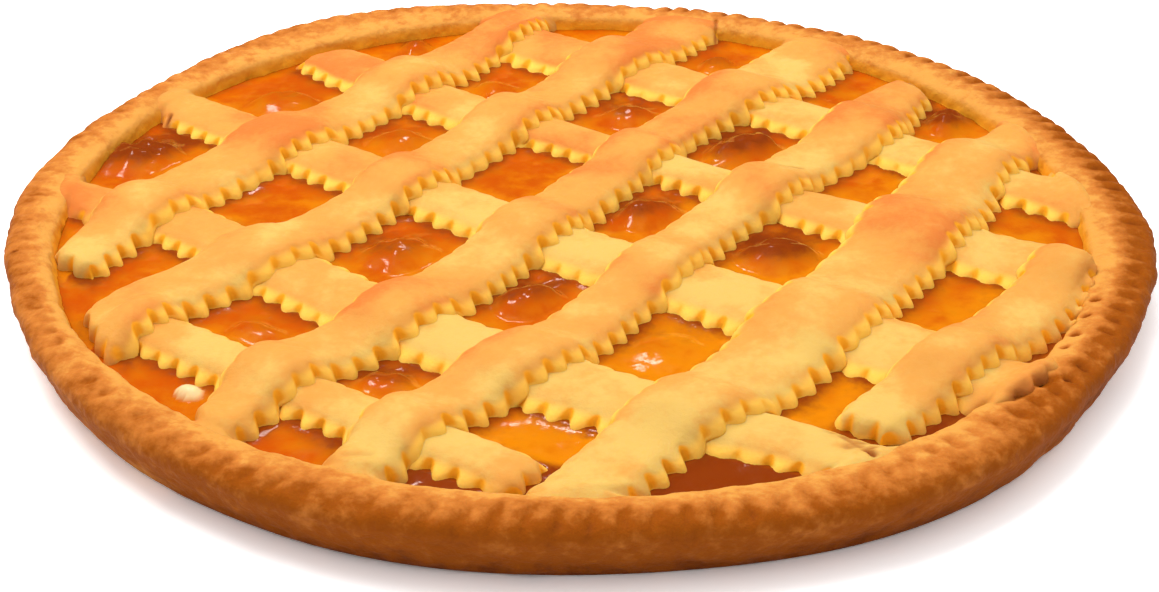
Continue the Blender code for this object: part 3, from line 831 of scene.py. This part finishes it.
def crust_dents(angle, index, section, places, count):
    """Share of a full crimp's depth at points of the rim, given by their angle and row of the section."""
    top = section[:, 1] > 14.0
    order = np.argsort(section[top, 0])
    middle = np.interp(crimp_radius(angle), section[top, 0][order], places[top][order])
    around = stack(CRIMP_RING_RADIUS * np.cos(angle), CRIMP_RING_RADIUS * np.sin(angle))
    turn = angle * count / (2 * math.pi) + 0.2 * grain(around, 21.0, 31)
    pitch = 2 * math.pi * CRIMP_RING_RADIUS / count
    lengthwise = middle - places[index]
    sideways = (turn - np.round(turn)) * pitch + CRIMP_SKEW * lengthwise
    fluted = stretch_share(angle, FLUTED_STRETCH)
    half_length = CRIMP_HALF_LENGTH + 1.7 * soft_step(np.sin(angle), -0.3, 0.4) + 1.9 * fluted
    strength = (0.8 + 0.45 * grain(around, 9.0, 32)) * (1 - 0.3 * fluted)
    strength = strength * (0.3 + 0.7 * soft_step(np.cos(angle - CLEAR_CRIMPS_ANGLE), -0.8, -0.1))
    groove = np.exp(-np.abs(sideways / CRIMP_HALF_WIDTH) ** 2.2)
    return groove * np.exp(-np.abs(lengthwise / half_length) ** 2.6) * strength


def crust_grid(sizes, around_count, section_count):
    """Points of the crust's outside in rows round the tart, with their values of baking and painted shade."""
    section, places = smooth_curve(CRUST_SECTION, section_count)
    angle, index = np.meshgrid(np.linspace(0, 2 * math.pi, around_count, endpoint=False),
                               np.arange(section_count), indexing="xy")
    radius, height, pale_bake, near_bake_and_shade = (section[index, column] for column in range(4))
    widest = np.argmax(section[:, 0])
    outer = radius + np.where(index <= widest, radius_drift(angle), drift_at(radius, angle))
    spread = soft_step(-np.sin(angle), 0.3, 0.6) * soft_step(np.abs(np.cos(angle)), 0.45, 0.75)
    outer = outer + np.where(index <= widest, spread * (1 - soft_step(height, 3.0, 11.0)), 0.0)
    lift = height * (1 + height_drift(angle) / RIM_HEIGHT)
    points = stack(outer * np.cos(angle), outer * np.sin(angle), lift)
    around = np.roll(points, -1, axis=1) - np.roll(points, 1, axis=1)
    up = np.gradient(points, axis=0)
    normal = np.cross(around, up)
    normal /= np.linalg.norm(normal, axis=-1, keepdims=True) + 1e-9
    dents = crust_dents(angle, index, section, places, sizes.crimp_count)
    depth, dark = marks_at(points[..., 0], points[..., 1])
    upper = soft_step(height, 13.0, 14.0)
    waves = layered_grain(points, 11.0, 41) * sizes.unevenness / MM
    crags = layered_grain(points, 3.2, 45, 3) * (0.10 + 0.16 * soft_step(-height, -15.3, -13.0))
    free = soft_step(height, 0.0, 2.5)
    press = sizes.crimp_depth / MM * dents + depth * upper
    points = points + normal * ((waves + crags) * free - press)[..., None]
    points[..., 2] = np.maximum(points[..., 2], 0.0)
    # The near side, which faces the camera and away from the lamps, is painted darker as shade
    near = soft_step(np.cos(angle - NEAR_SIDE_ANGLE), 0.70, 0.93)
    right = soft_step(np.cos(angle - RIGHT_SIDE_ANGLE), 0.60, 0.98) * soft_step(radius, 130.5, 135.0)
    bake_and_shade = pale_bake + near * (near_bake_and_shade - pale_bake) + 0.4 * right * (1 - near)
    # Darker in the crimp dents and crag hollows and paler on the crags as painted shade and light, darker in
    # the marks as painted shade
    bake_and_shade = bake_and_shade + 0.65 * dents + 1.6 * dark * upper - 0.25 * crags
    inside = soft_step(-radius, -127.3, -126.3) * 0.85
    return points, {"bake_and_shade": bake_and_shade, "inside": inside}


class TART_OT_make_crust(bpy.types.Operator):
    """Make the crust with its mottled wall and crimped rim."""

    bl_idname = "tart.make_crust"
    bl_label = "Make crust"

    def execute(self, context):
        sizes = context.scene.tart_crust
        points, values = crust_grid(sizes, POINTS_PER_CRIMP * sizes.crimp_count, CRUST_ROWS)
        material = crust_material(context.scene.tart_colours)
        piece = mesh_piece("baked_crust", points, tube_faces(points), values, material)
        stand_for(piece, "crust_shell")
        return {"FINISHED"}


# Strips

def level_under(x, y, level):
    """Height of the jam or the rim under a plan point."""
    rim = np.where(even_radius(x, y) > FLOOR_RADIUS, rim_top(x, y), 0.0)
    return np.maximum(level, rim)


def middle_limits(strip, is_upper):
    """Distances along the lattice at which a strip's middle line starts and ends."""
    _, start, finish, rows = strip
    middle = np.zeros(1)
    return (end_distances(start, rows, is_upper, middle, -1.0)[0][0],
            end_distances(finish, rows, is_upper, middle, 1.0)[0][0])


def lower_tops(x, y, thickness, level):
    """Height of the lower strips' upper faces at plan points, or 0 beside them."""
    along, across = plan_to_lattice(x, y)
    top = np.zeros(np.shape(x))
    ground = level_under(x, y, level + STRIP_GAP)
    for strip in LOWER_STRIPS:
        _, start, finish, rows = strip
        first, last = middle_limits(strip, False)
        first -= 3.0 * (start[0] == "edge")
        last += 3.0 * (finish[0] == "edge")
        offset, width = rows_at(rows, across)
        share = np.abs(along - offset) / (width / 2 + 0.4)
        inside = (share < 1.0) & (across > first) & (across < last)
        swell = np.maximum(1 - np.minimum(share, 1.0) ** 3.6, 0.0) ** (1 / 2.1)
        climb = 1 - 0.75 * soft_step(ground, level + 1.0, 15.0)
        top = np.where(inside, np.maximum(top, ground + thickness * swell * climb), top)
    return top


def end_rounding(ends, powers):
    """How far a strip's height and its width are closed towards its ends, as shares."""
    closing = np.ones(ends[0][0].shape)
    narrowing = np.ones(closing.shape)
    for gap, kind, _ in ends:
        near = np.clip(gap / END_TAPER, 0.0, 1.0)
        if kind == "rim":
            narrowing *= 1 - 0.12 * (1 - near) ** 2
        else:
            closing *= (1 - (1 - near) ** powers[0]) ** (1 / powers[1])
            narrowing *= 1 - 0.30 * (1 - near) ** 2.2
    return closing, narrowing


def pinked_edges(rows, distance, share, up, narrowing, ends, sizes, seed):
    """Places of a strip's points along and across it with pinked edges, then how far they lie in a notch of
    the long edges, how strong the teeth are there, and how far they lie in a notch of a cut end."""
    pitch = sizes.tooth_pitch / MM
    depth = sizes.tooth_depth / MM
    offset, width = rows_at(rows, distance)
    side = np.sign(share) + np.zeros(distance.shape)
    lobes = np.where(side > 0, tooth_lobes(distance, pitch, 0.3, seed),
                     tooth_lobes(distance, pitch, 0.8, seed + 3))
    strength = np.where(side > 0, FAR_TEETH, NEAR_TEETH)
    strength = strength * (1 + 0.75 * grain(stack(distance, 50.0 * side), 9.0, seed + 9))
    flank = soft_step(np.abs(share), 0.70, 0.98) * (1 - 0.78 * up ** 2) * strength
    wave = 0.55 * grain(stack(distance, 30.0 * side), 13.0, seed + 5)
    flare = 0.8 * side * (1 - up) ** 1.5 * soft_step(np.abs(share), 0.7, 0.97)
    across = offset + share * narrowing * width / 2 + side * flank * depth * (lobes - 0.58)
    across = across + wave * np.abs(share)
    across = across + flare - 0.35 * share
    end_teeth = tooth_lobes(across, pitch, 0.1, seed + 7)
    end_notch = np.zeros(distance.shape)
    for gap, kind, sign in ends:
        if kind != "rim":
            distance = distance + sign * depth * 0.8 * (end_teeth - 0.7) * (1 - np.clip(gap / 2.5, 0.0, 1.0))
            end_notch = np.maximum(end_notch, (1 - end_teeth) ** 1.2 * (1 - np.clip(gap / 3.0, 0.0, 1.0)))
    return distance, across, (1 - lobes) ** 1.2, strength, end_notch


def strip_places(distance, across, is_upper, on_jam):
    """Plan points of a strip, of which those that lie on the jam keep off the rim's face."""
    x, y = lattice_to_plan(distance, across) if is_upper else lattice_to_plan(across, distance)
    radius = true_radius(x, y)
    pull = np.where(on_jam & (radius > RIM_FACE_RADIUS), RIM_FACE_RADIUS - radius, 0.0)
    reach = np.hypot(x, y)
    return x * (reach + pull) / reach, y * (reach + pull) / reach


def rim_ends(ends, x, y, climbing, length):
    """What the rim does to a strip: its share of thickness, its sinking, its melting in and its browning."""
    thinning = np.full(x.shape, 0.78)
    browned = np.zeros(x.shape)
    for gap, kind, _ in ends:
        if kind == "over":
            thinning = np.where(gap < 30.0, 0.35, thinning)
            browned = 0.6 * (1 - soft_step(gap, 3.0, 17.0))
    climb = 1 - thinning * climbing
    sunk = np.zeros(x.shape)
    melt = np.zeros(x.shape)
    for gap, kind, _ in ends:
        if kind == "rim":
            climb = climb * (0.05 + 0.95 * soft_step(gap, 0.0, 5.0))
            sunk = sunk + RIM_END_SINK * (1 - soft_step(gap, 0.0, 6.0))
            melt = np.maximum(melt, soft_step(np.hypot(x, y), *MELT_RADII) * (gap < length / 2))
    return climb, sunk, melt, browned


def strip_surface(strip, is_upper, sizes, level, seed):
    """Points of a strip in rings across it, from one end to the other, with their values."""
    _, start, finish, rows = strip
    thickness = (sizes.upper_thickness if is_upper else sizes.lower_thickness) / MM
    spacing = sizes.spacing / MM
    powers = UPPER_POWERS if is_upper else LOWER_POWERS
    share, up = strip_section(*powers, SECTION_COUNT)
    starts, climb_starts = end_distances(start, rows, is_upper, share, -1.0)
    finishes, climb_finishes = end_distances(finish, rows, is_upper, share, 1.0)
    length = float(np.mean(finishes - starts))
    even = np.linspace(0.0, length, int(length / spacing))
    near_end = np.array(END_RINGS)
    stations = np.sort(np.concatenate([even, near_end, length - near_end]))[:, None]
    distance = starts + stations / length * (finishes - starts)
    to_start = stations + np.zeros(distance.shape)
    ends = ((to_start, start[0], -1.0), (length - to_start, finish[0], 1.0))
    closing, narrowing = end_rounding(ends, powers)
    distance, across, notch, strength, end_notch = pinked_edges(
        rows, distance, share, up, narrowing, ends, sizes, seed)
    on_jam = (distance >= climb_starts - 0.01) & (distance <= climb_finishes + 0.01)
    x, y = strip_places(distance, across, is_upper, on_jam)
    rim_ground = level_under(x, y, level + STRIP_GAP)
    ground = rim_ground
    if is_upper:
        ground = np.maximum(ground, lower_tops(x, y, sizes.lower_thickness / MM, level))
    steps = 3.4 / spacing
    eased_ground = blurred(blurred(ground, steps if is_upper else 3.0, 0), 2.5, 1)
    climbing = soft_step(blurred(rim_ground, steps, 0), level + 1.0, 15.0)
    climb, sunk, melt, browned = rim_ends(ends, x, y, climbing, length)
    crown = np.maximum(eased_ground + thickness * climb, ground + 0.55 * thickness * climb) - sunk
    up = (1 - melt) * up + melt * (1 - share ** 2) ** 0.8
    crown = blurred(crown, 2.0, 0)
    bottom = ground - STRIP_SINK
    height = bottom + up * closing * (crown - bottom)
    puff = sizes.puffiness / MM * layered_grain(stack(x, y), 15.0, 61 + seed, 3)
    height = height + puff * up * closing * climb
    notch = notch * soft_step(np.abs(share), 0.72, 0.93) * np.minimum(strength, 1.2) * (1 - melt)
    # The marks press in, and their darkness is painted shade
    depth, dark = marks_at(x, y)
    height = np.minimum(height - depth * up, HIGHEST_CROWN)
    reach = np.hypot(x, y)
    values = {
        "blush": strip_blush(x, y, eased_ground, share, is_upper, level, seed) + browned,
        # Side: the cut sides and ends, whose colour is partly painted light
        "side": (np.maximum(1 - soft_step(up, 0.4, 0.96), 1 - soft_step(closing, 0.1, 0.6)) * (1 - browned)
                 * (1 - 0.7 * soft_step(reach, 119.0, 125.0)) * (1 - dark)),
        # Notch: amber in the notches and end dimples, partly painted shade in these recesses
        "notch": np.maximum(notch, 0.8 * end_notch) * soft_step(up, 0.05, 0.35) * (1 - browned),
        # Rim: melting into the rim's colour and the browned end, with the marks' painted shade
        "rim": np.clip(melt * soft_step(reach, 128.0, 135.0) + 0.15 * browned + 1.3 * dark, 0.0, 1.0),
        # Burn: the marks' painted shade, and the browned end's notches darkened as painted shade
        "burn_and_shade": 0.9 * dark * soft_step(up, 0.2, 0.6) + 1.1 * notch * browned,
    }
    return stack(x, y, height), stack(x, y, bottom - 0.3), values


def strip_blush(x, y, ground, share, is_upper, level, seed):
    """How much a strip browned: more at the back, near the rim, on high crowns and on the left."""
    place = stack(x, y)
    patches = layered_grain(place, 26.0, 71 + seed, 2) + 0.6 * grain(place, 9.0, 75 + seed)
    hump = soft_step(ground, level + 0.8, level + 3.4)
    far_edge = soft_step(share + np.zeros(np.shape(x)), 0.1, 0.9)
    near_edge = soft_step(-share + np.zeros(np.shape(x)), 0.3, 0.9)
    back = soft_step(y, -120.0, 120.0)
    rim = soft_step(np.hypot(x, y), 108.0, 130.0)
    _, across = plan_to_lattice(x, y)
    patches = patches * 0.36 - 0.12 * soft_step(-across, 45.0, 75.0)
    if is_upper:
        return (0.20 + 0.46 * back + 0.18 * far_edge + hump * (0.18 + 0.24 * near_edge + 0.16 * far_edge)
                + 0.08 * rim + patches)
    left = soft_step(across, -30.0, 60.0)
    rim = rim * (1 - 0.8 * soft_step(-x, 60.0, 115.0))
    return 0.03 + 0.24 * back + 0.44 * left + 0.28 * rim + 0.14 * near_edge + patches


def make_strip(context, strip, is_upper, material, seed):
    """Make one strip of the lattice as a closed, smooth piece."""
    sizes = context.scene.tart_strips
    level = context.scene.tart_jam.level / MM
    top, under, values = strip_surface(strip, is_upper, sizes, level, seed)
    pick = np.linspace(top.shape[1] - 1, 0, UNDERSIDE_COUNT).round().astype(int)[1:-1]
    points = np.concatenate([top, under[:, pick]], axis=1)
    whole = {label: np.concatenate([array, array[:, pick]], axis=1) for label, array in values.items()}
    piece = mesh_piece(strip[0].replace("lattice", "strip"), points, tube_faces(points), whole, material)
    stand_for(piece, strip[0])


def make_strips(context, strips, is_upper, slot_name, first_seed, seed_step):
    """Make the strips of one layer, each with a seed of its own."""
    material = dough_material(slot_name + "_look", context.scene.tart_colours)
    for index, strip in enumerate(strips):
        make_strip(context, strip, is_upper, material, first_seed + seed_step * index)


class TART_OT_make_lower_strips(bpy.types.Operator):
    """Make the five strips that lie on the jam."""

    bl_idname = "tart.make_lower_strips"
    bl_label = "Make lower strips"

    def execute(self, context):
        make_strips(context, LOWER_STRIPS, False, "lower_dough", 2, 11)
        return {"FINISHED"}


class TART_OT_make_upper_strips(bpy.types.Operator):
    """Make the six strips that cross over the lower ones."""

    bl_idname = "tart.make_upper_strips"
    bl_label = "Make upper strips"

    def execute(self, context):
        make_strips(context, UPPER_STRIPS, True, "upper_dough", 101, 13)
        return {"FINISHED"}


# Jam

def strip_nearness(x, y):
    """Distance from plan points to the nearest strip's edge, negative under a strip, and to the edges that
    face away from the camera's side and towards it."""
    along, across = plan_to_lattice(x, y)
    nearest, low_edge, high_edge = (np.full(np.shape(x), FAR_AWAY) for _ in range(3))
    for strips, is_upper in ((UPPER_STRIPS, True), (LOWER_STRIPS, False)):
        run, side = (along, across) if is_upper else (across, along)
        for strip in strips:
            first, last = middle_limits(strip, is_upper)
            offset, width = rows_at(strip[3], run)
            beside = np.abs(side - offset) - width / 2
            beyond = np.maximum(first - run, run - last)
            gap = np.maximum(beside, beyond)
            nearest = np.minimum(nearest, gap)
            low_edge = np.minimum(low_edge, np.where(side < offset, gap, FAR_AWAY))
            high_edge = np.minimum(high_edge, np.where(side > offset, gap, FAR_AWAY))
    return nearest, low_edge, high_edge


def nut_at(along, across):
    """Height of the nut bit over the jam's level at places on the lattice, and its share of the colour."""
    middle_along, middle_across, half_along, half_across, rise = NUT_BIT
    span = np.hypot((along - middle_along) / half_along, (across - middle_across) / half_across)
    return rise * np.clip(1 - span ** 2, 0.0, 1.0) ** 0.6, soft_step(1.05 - span, 0.0, 0.2)


def jam_heights(x, y, sizes):
    """Height of the jam at plan points, and the values of its finish."""
    along, across = plan_to_lattice(x, y)
    place = stack(x, y)
    level = sizes.level / MM
    rise = np.zeros(np.shape(x))
    skin = np.zeros(np.shape(x))
    bend = 1.6 * grain(place, 8.0, 91)
    for middle_along, middle_across, half_along, half_across, top, dark in JAM_SWELLINGS:
        span = np.hypot((along + bend - middle_along) / (half_along * DOME_SPREAD),
                        (across - bend - middle_across) / (half_across * DOME_SPREAD))
        behind = lattice_to_plan(along - middle_along, across - middle_across)[1]
        span = span * (1 + 0.35 * soft_step(behind, 0.0, 5.0))
        dome = np.clip(1 - span ** 2, 0.0, 1.0) ** 1.15
        rise = np.maximum(rise, DOME_RISE * top * dome)
        span = np.hypot((along + bend - middle_along - 1.6) / (half_along * SKIN_SPREAD),
                        (across - bend - middle_across - 1.1) / (half_across * SKIN_SPREAD))
        skin = np.maximum(skin, dark * soft_step(1.25 - span, 0.0, 0.9))
    lumps = layered_grain(place, 7.5, 94, 2) * sizes.wrinkle / MM
    folds = layered_grain(place, 3.4, 97, 2) - 1.2 * np.abs(grain(place, 4.2, 99))
    lumps = lumps + folds * (0.3 + 2.4 * skin) * sizes.wrinkle / MM
    # Shade and lit: distances to the strip edges beside which the jam is painted darker as shade and paler as
    # light
    near_strip, shade, lit = strip_nearness(x, y)
    edge = np.minimum(near_strip, JAM_EDGE_RADIUS - true_radius(x, y))
    meniscus = sizes.climb / MM * np.exp(-np.maximum(edge, 0.0) / 1.3)
    height = level + rise + lumps + meniscus
    nut_rise, nut = nut_at(along, across)
    height = np.where(nut_rise > 0, np.maximum(height, level + nut_rise), height)
    under = soft_step(-edge, -0.5, 1.5)
    height = height * (1 - under) + np.minimum(height, level + 0.2) * under
    front = soft_step(true_radius(x, y), 108.0, 118.0) * soft_step(-y, 60.0, 90.0)
    front = front * soft_step(x, -60.0, -30.0)
    values = {
        "skin": np.maximum(skin, 1.1 * front),
        "nut": nut,
        # Edge: darker jam against the dough and the rim, and painted shade beside the strips' sides that face
        # the camera
        "edge": np.maximum(0.55 * np.exp(-np.maximum(edge, 0.0) / 2.0),
                           np.exp(-np.maximum(shade, 0.0) / 3.2)),
        # Clear: clear jam over part of the lattice, and painted light beside the strip edges on the lit side
        "clear": (0.05 + 0.65 * soft_step(-across, 25.0, 50.0) * (1 - 0.6 * soft_step(along, -25.0, 15.0))
                  + 0.8 * np.exp(-np.maximum(lit, 0.0) / 4.5)) * (1 - 0.6 * np.minimum(skin, 1.0)),
    }
    return height, values


class TART_OT_make_jam(bpy.types.Operator):
    """Make the jam with its swellings, its dark skin and its nut bit."""

    bl_idname = "tart.make_jam"
    bl_label = "Make jam"

    def execute(self, context):
        sizes = context.scene.tart_jam
        spacing = sizes.spacing / MM
        count = int(2 * JAM_GRID_HALF / spacing)
        line = np.linspace(-JAM_GRID_HALF, JAM_GRID_HALF, count)
        x, y = np.meshgrid(line, line, indexing="ij")
        angle = np.arctan2(y, x)
        limit = JAM_WALL_RADIUS + inner_drift(angle)
        outside = np.hypot(x, y) > limit
        corners = grid_faces(count, count, False)
        kept = corners[~outside.ravel()[corners].all(axis=1)]
        x = np.where(outside, limit * np.cos(angle), x)
        y = np.where(outside, limit * np.sin(angle), y)
        used, kept = np.unique(kept, return_inverse=True)
        x = x.ravel()[used]
        y = y.ravel()[used]
        height, values = jam_heights(x, y, sizes)
        material = jam_material(context.scene.tart_colours)
        faces = kept.reshape(-1, 4).tolist()
        piece = mesh_piece("apricot_jam", stack(x, y, height), faces, values, material)
        close_below(piece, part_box("jam_filling")[0].z)
        stand_for(piece, "jam_filling")
        return {"FINISHED"}


def close_below(piece, depth):
    """Close a sheet downwards to a flat underside at a depth in metres."""
    builder = bmesh.new()
    builder.from_mesh(piece.data)
    bmesh.ops.remove_doubles(builder, verts=builder.verts, dist=0.00002)
    rim = [edge for edge in builder.edges if edge.is_boundary]
    made = bmesh.ops.extrude_edge_only(builder, edges=rim)["geom"]
    for item in made:
        if isinstance(item, bmesh.types.BMVert):
            item.co.z = depth
    lower = [item for item in made if isinstance(item, bmesh.types.BMEdge) and item.is_boundary]
    bmesh.ops.edgeloop_fill(builder, edges=lower)
    bmesh.ops.recalc_face_normals(builder, faces=builder.faces)
    for face in builder.faces:
        face.smooth = True
    builder.to_mesh(piece.data)
    builder.free()


# Stage

class TART_OT_set_stage(bpy.types.Operator):
    """Set the pale floor, the soft light and the camera."""

    bl_idname = "tart.set_stage"
    bl_label = "Set stage"

    def execute(self, context):
        setup = context.scene.tart_studio
        make_floor(setup)
        make_light(context, setup)
        make_camera(context, setup)
        context.scene.view_settings.view_transform = "Standard"
        return {"FINISHED"}


def make_floor(setup):
    """Pale floor under the tart, which the camera sees brighter than the light does."""
    material, tree, shader = new_material("pale_floor")
    cloud = add_node(tree, "ShaderNodeTexNoise", inputs={"Scale": 3.0})
    low = [value * 0.99 for value in setup.floor]
    plain = mix_colours(tree, cloud.outputs["Fac"], low, setup.floor)
    bright = [value * setup.floor_gain for value in setup.floor]
    kind = tree.nodes.new("ShaderNodeLightPath")
    seen = mix_colours(tree, kind.outputs["Is Camera Ray"], plain, bright)
    tree.links.new(seen, shader.inputs["Base Color"])
    shader.inputs["Roughness"].default_value = 0.9
    shader.inputs["Specular IOR Level"].default_value = 0.1
    mesh = bpy.data.meshes.new("floor")
    corners = [(x * FLOOR_HALF, y * FLOOR_HALF, 0.0) for x, y in ((-1, -1), (1, -1), (1, 1), (-1, 1))]
    mesh.from_pydata(corners, [], [(0, 1, 2, 3)])
    mesh.materials.append(material)
    floor = bpy.data.objects.new("floor", mesh)
    floor.location.z = -FLOOR_DROP
    bpy.context.scene.collection.objects.link(floor)


def make_light(context, setup):
    """Even sky, one large soft lamp above and behind, and two small lamps that only the jam's gloss shows."""
    world = bpy.data.worlds.new("soft_sky")
    world.use_nodes = True
    tree = world.node_tree
    back = tree.nodes["Background"]
    back.inputs["Color"].default_value = (1.0, 1.0, 1.0, 1.0)
    direction = tree.nodes.new("ShaderNodeTexCoord")
    parts = tree.nodes.new("ShaderNodeSeparateXYZ")
    rise = add_node(tree, "ShaderNodeMapRange", inputs={
        "From Min": 0.1, "From Max": 0.9, "To Min": 0.37 * setup.sky, "To Max": setup.sky})
    link(tree, direction, "Generated", parts, "Vector")
    link(tree, parts, "Z", rise, "Value")
    kind = tree.nodes.new("ShaderNodeLightPath")
    dimming = add_node(tree, "ShaderNodeMapRange", inputs={"To Min": 1.0, "To Max": 0.03})
    strength = add_node(tree, "ShaderNodeMath", operation="MULTIPLY")
    link(tree, kind, "Is Glossy Ray", dimming, "Value")
    link(tree, rise, "Result", strength, 0)
    link(tree, dimming, "Result", strength, 1)
    link(tree, strength, "Value", back, "Strength")
    context.scene.world = world
    for label, place, size, power in (("key_lamp", (-0.22, 0.28, 0.79), 0.7, setup.key),
                                      ("left_glint_lamp", (-0.30, 0.25, 0.60), 0.10, setup.glint),
                                      ("back_glint_lamp", (-0.06, 0.50, 0.60), 0.07, setup.glint / 2)):
        lamp = bpy.data.lights.new(label, "AREA")
        lamp.shape = "SQUARE"
        lamp.size = size
        lamp.energy = power
        thing = bpy.data.objects.new(label, lamp)
        thing.location = place
        thing.rotation_mode = "QUATERNION"
        thing.rotation_quaternion = (-Vector(place)).to_track_quat("-Z", "Y")
        is_key = label == "key_lamp"
        lamp.color = (1.0, 1.0, 1.0) if is_key else (1.0, 0.86, 0.82)
        thing.visible_glossy = not is_key
        thing.visible_diffuse = is_key
        context.scene.collection.objects.link(thing)


def make_camera(context, setup):
    """Camera at the photographed angle."""
    data = bpy.data.cameras.new("camera")
    data.sensor_width = SENSOR_WIDTH
    data.lens = setup.lens
    data.clip_start, data.clip_end = CLIP_RANGE
    camera = bpy.data.objects.new("camera", data)
    rise = setup.elevation
    forward = Vector((0.0, math.cos(rise), -math.sin(rise)))
    right = Vector((1.0, 0.0, 0.0))
    up = right.cross(forward)
    pan = Matrix.Rotation(setup.pan, 3, up)
    forward, right = pan @ forward, pan @ right
    tilt = Matrix.Rotation(setup.tilt, 3, right)
    forward, up = tilt @ forward, tilt @ up
    roll = Matrix.Rotation(setup.roll, 3, forward)
    right, up = roll @ right, roll @ up
    turn = Matrix((right, up, -forward)).transposed().to_4x4()
    place = Vector((0.0, -math.cos(rise), math.sin(rise))) * setup.distance
    camera.matrix_world = Matrix.Translation(place) @ turn
    context.scene.collection.objects.link(camera)
    context.scene.camera = camera


class TART_PT_panel(bpy.types.Panel):
    """Panel that lists the steps of making the tart."""

    bl_idname = "TART_PT_panel"
    bl_label = "Jam crostata"
    bl_space_type = "VIEW_3D"
    bl_region_type = "UI"
    bl_category = "Tart"

    def draw(self, context):
        scene = context.scene
        for group, steps in ((scene.tart_crust, ("tart.make_crust",)),
                             (scene.tart_jam, ("tart.make_jam",)),
                             (scene.tart_strips, ("tart.make_lower_strips", "tart.make_upper_strips")),
                             (scene.tart_colours, ()),
                             (scene.tart_studio, ("tart.set_stage",))):
            box = self.layout.box()
            for label in group.bl_rna.properties.keys():
                if label not in ("rna_type", "name"):
                    box.prop(group, label)
            for step in steps:
                box.operator(step)


GROUPS = (("tart_crust", CrustSizes), ("tart_jam", JamSizes), ("tart_strips", StripSizes),
          ("tart_colours", TartColours), ("tart_studio", StudioSetup))
CLASSES = (CrustSizes, JamSizes, StripSizes, TartColours, StudioSetup, TART_OT_make_crust, TART_OT_make_jam,
           TART_OT_make_lower_strips, TART_OT_make_upper_strips, TART_OT_set_stage, TART_PT_panel)


def register():
    """Register the classes and hang the settings on the scene."""
    for item in CLASSES:
        bpy.utils.register_class(item)
    for label, group in GROUPS:
        setattr(bpy.types.Scene, label, bpy.props.PointerProperty(type=group))


def unregister():
    """Take the settings off the scene and unregister the classes."""
    for label, _ in GROUPS:
        delattr(bpy.types.Scene, label)
    for item in reversed(CLASSES):
        bpy.utils.unregister_class(item)


def main():
    """Make the tart step by step."""
    register()
    bpy.ops.tart.set_stage()
    bpy.ops.tart.make_crust()
    bpy.ops.tart.make_jam()
    bpy.ops.tart.make_lower_strips()
    bpy.ops.tart.make_upper_strips()


if __name__ == "__main__":
    main()
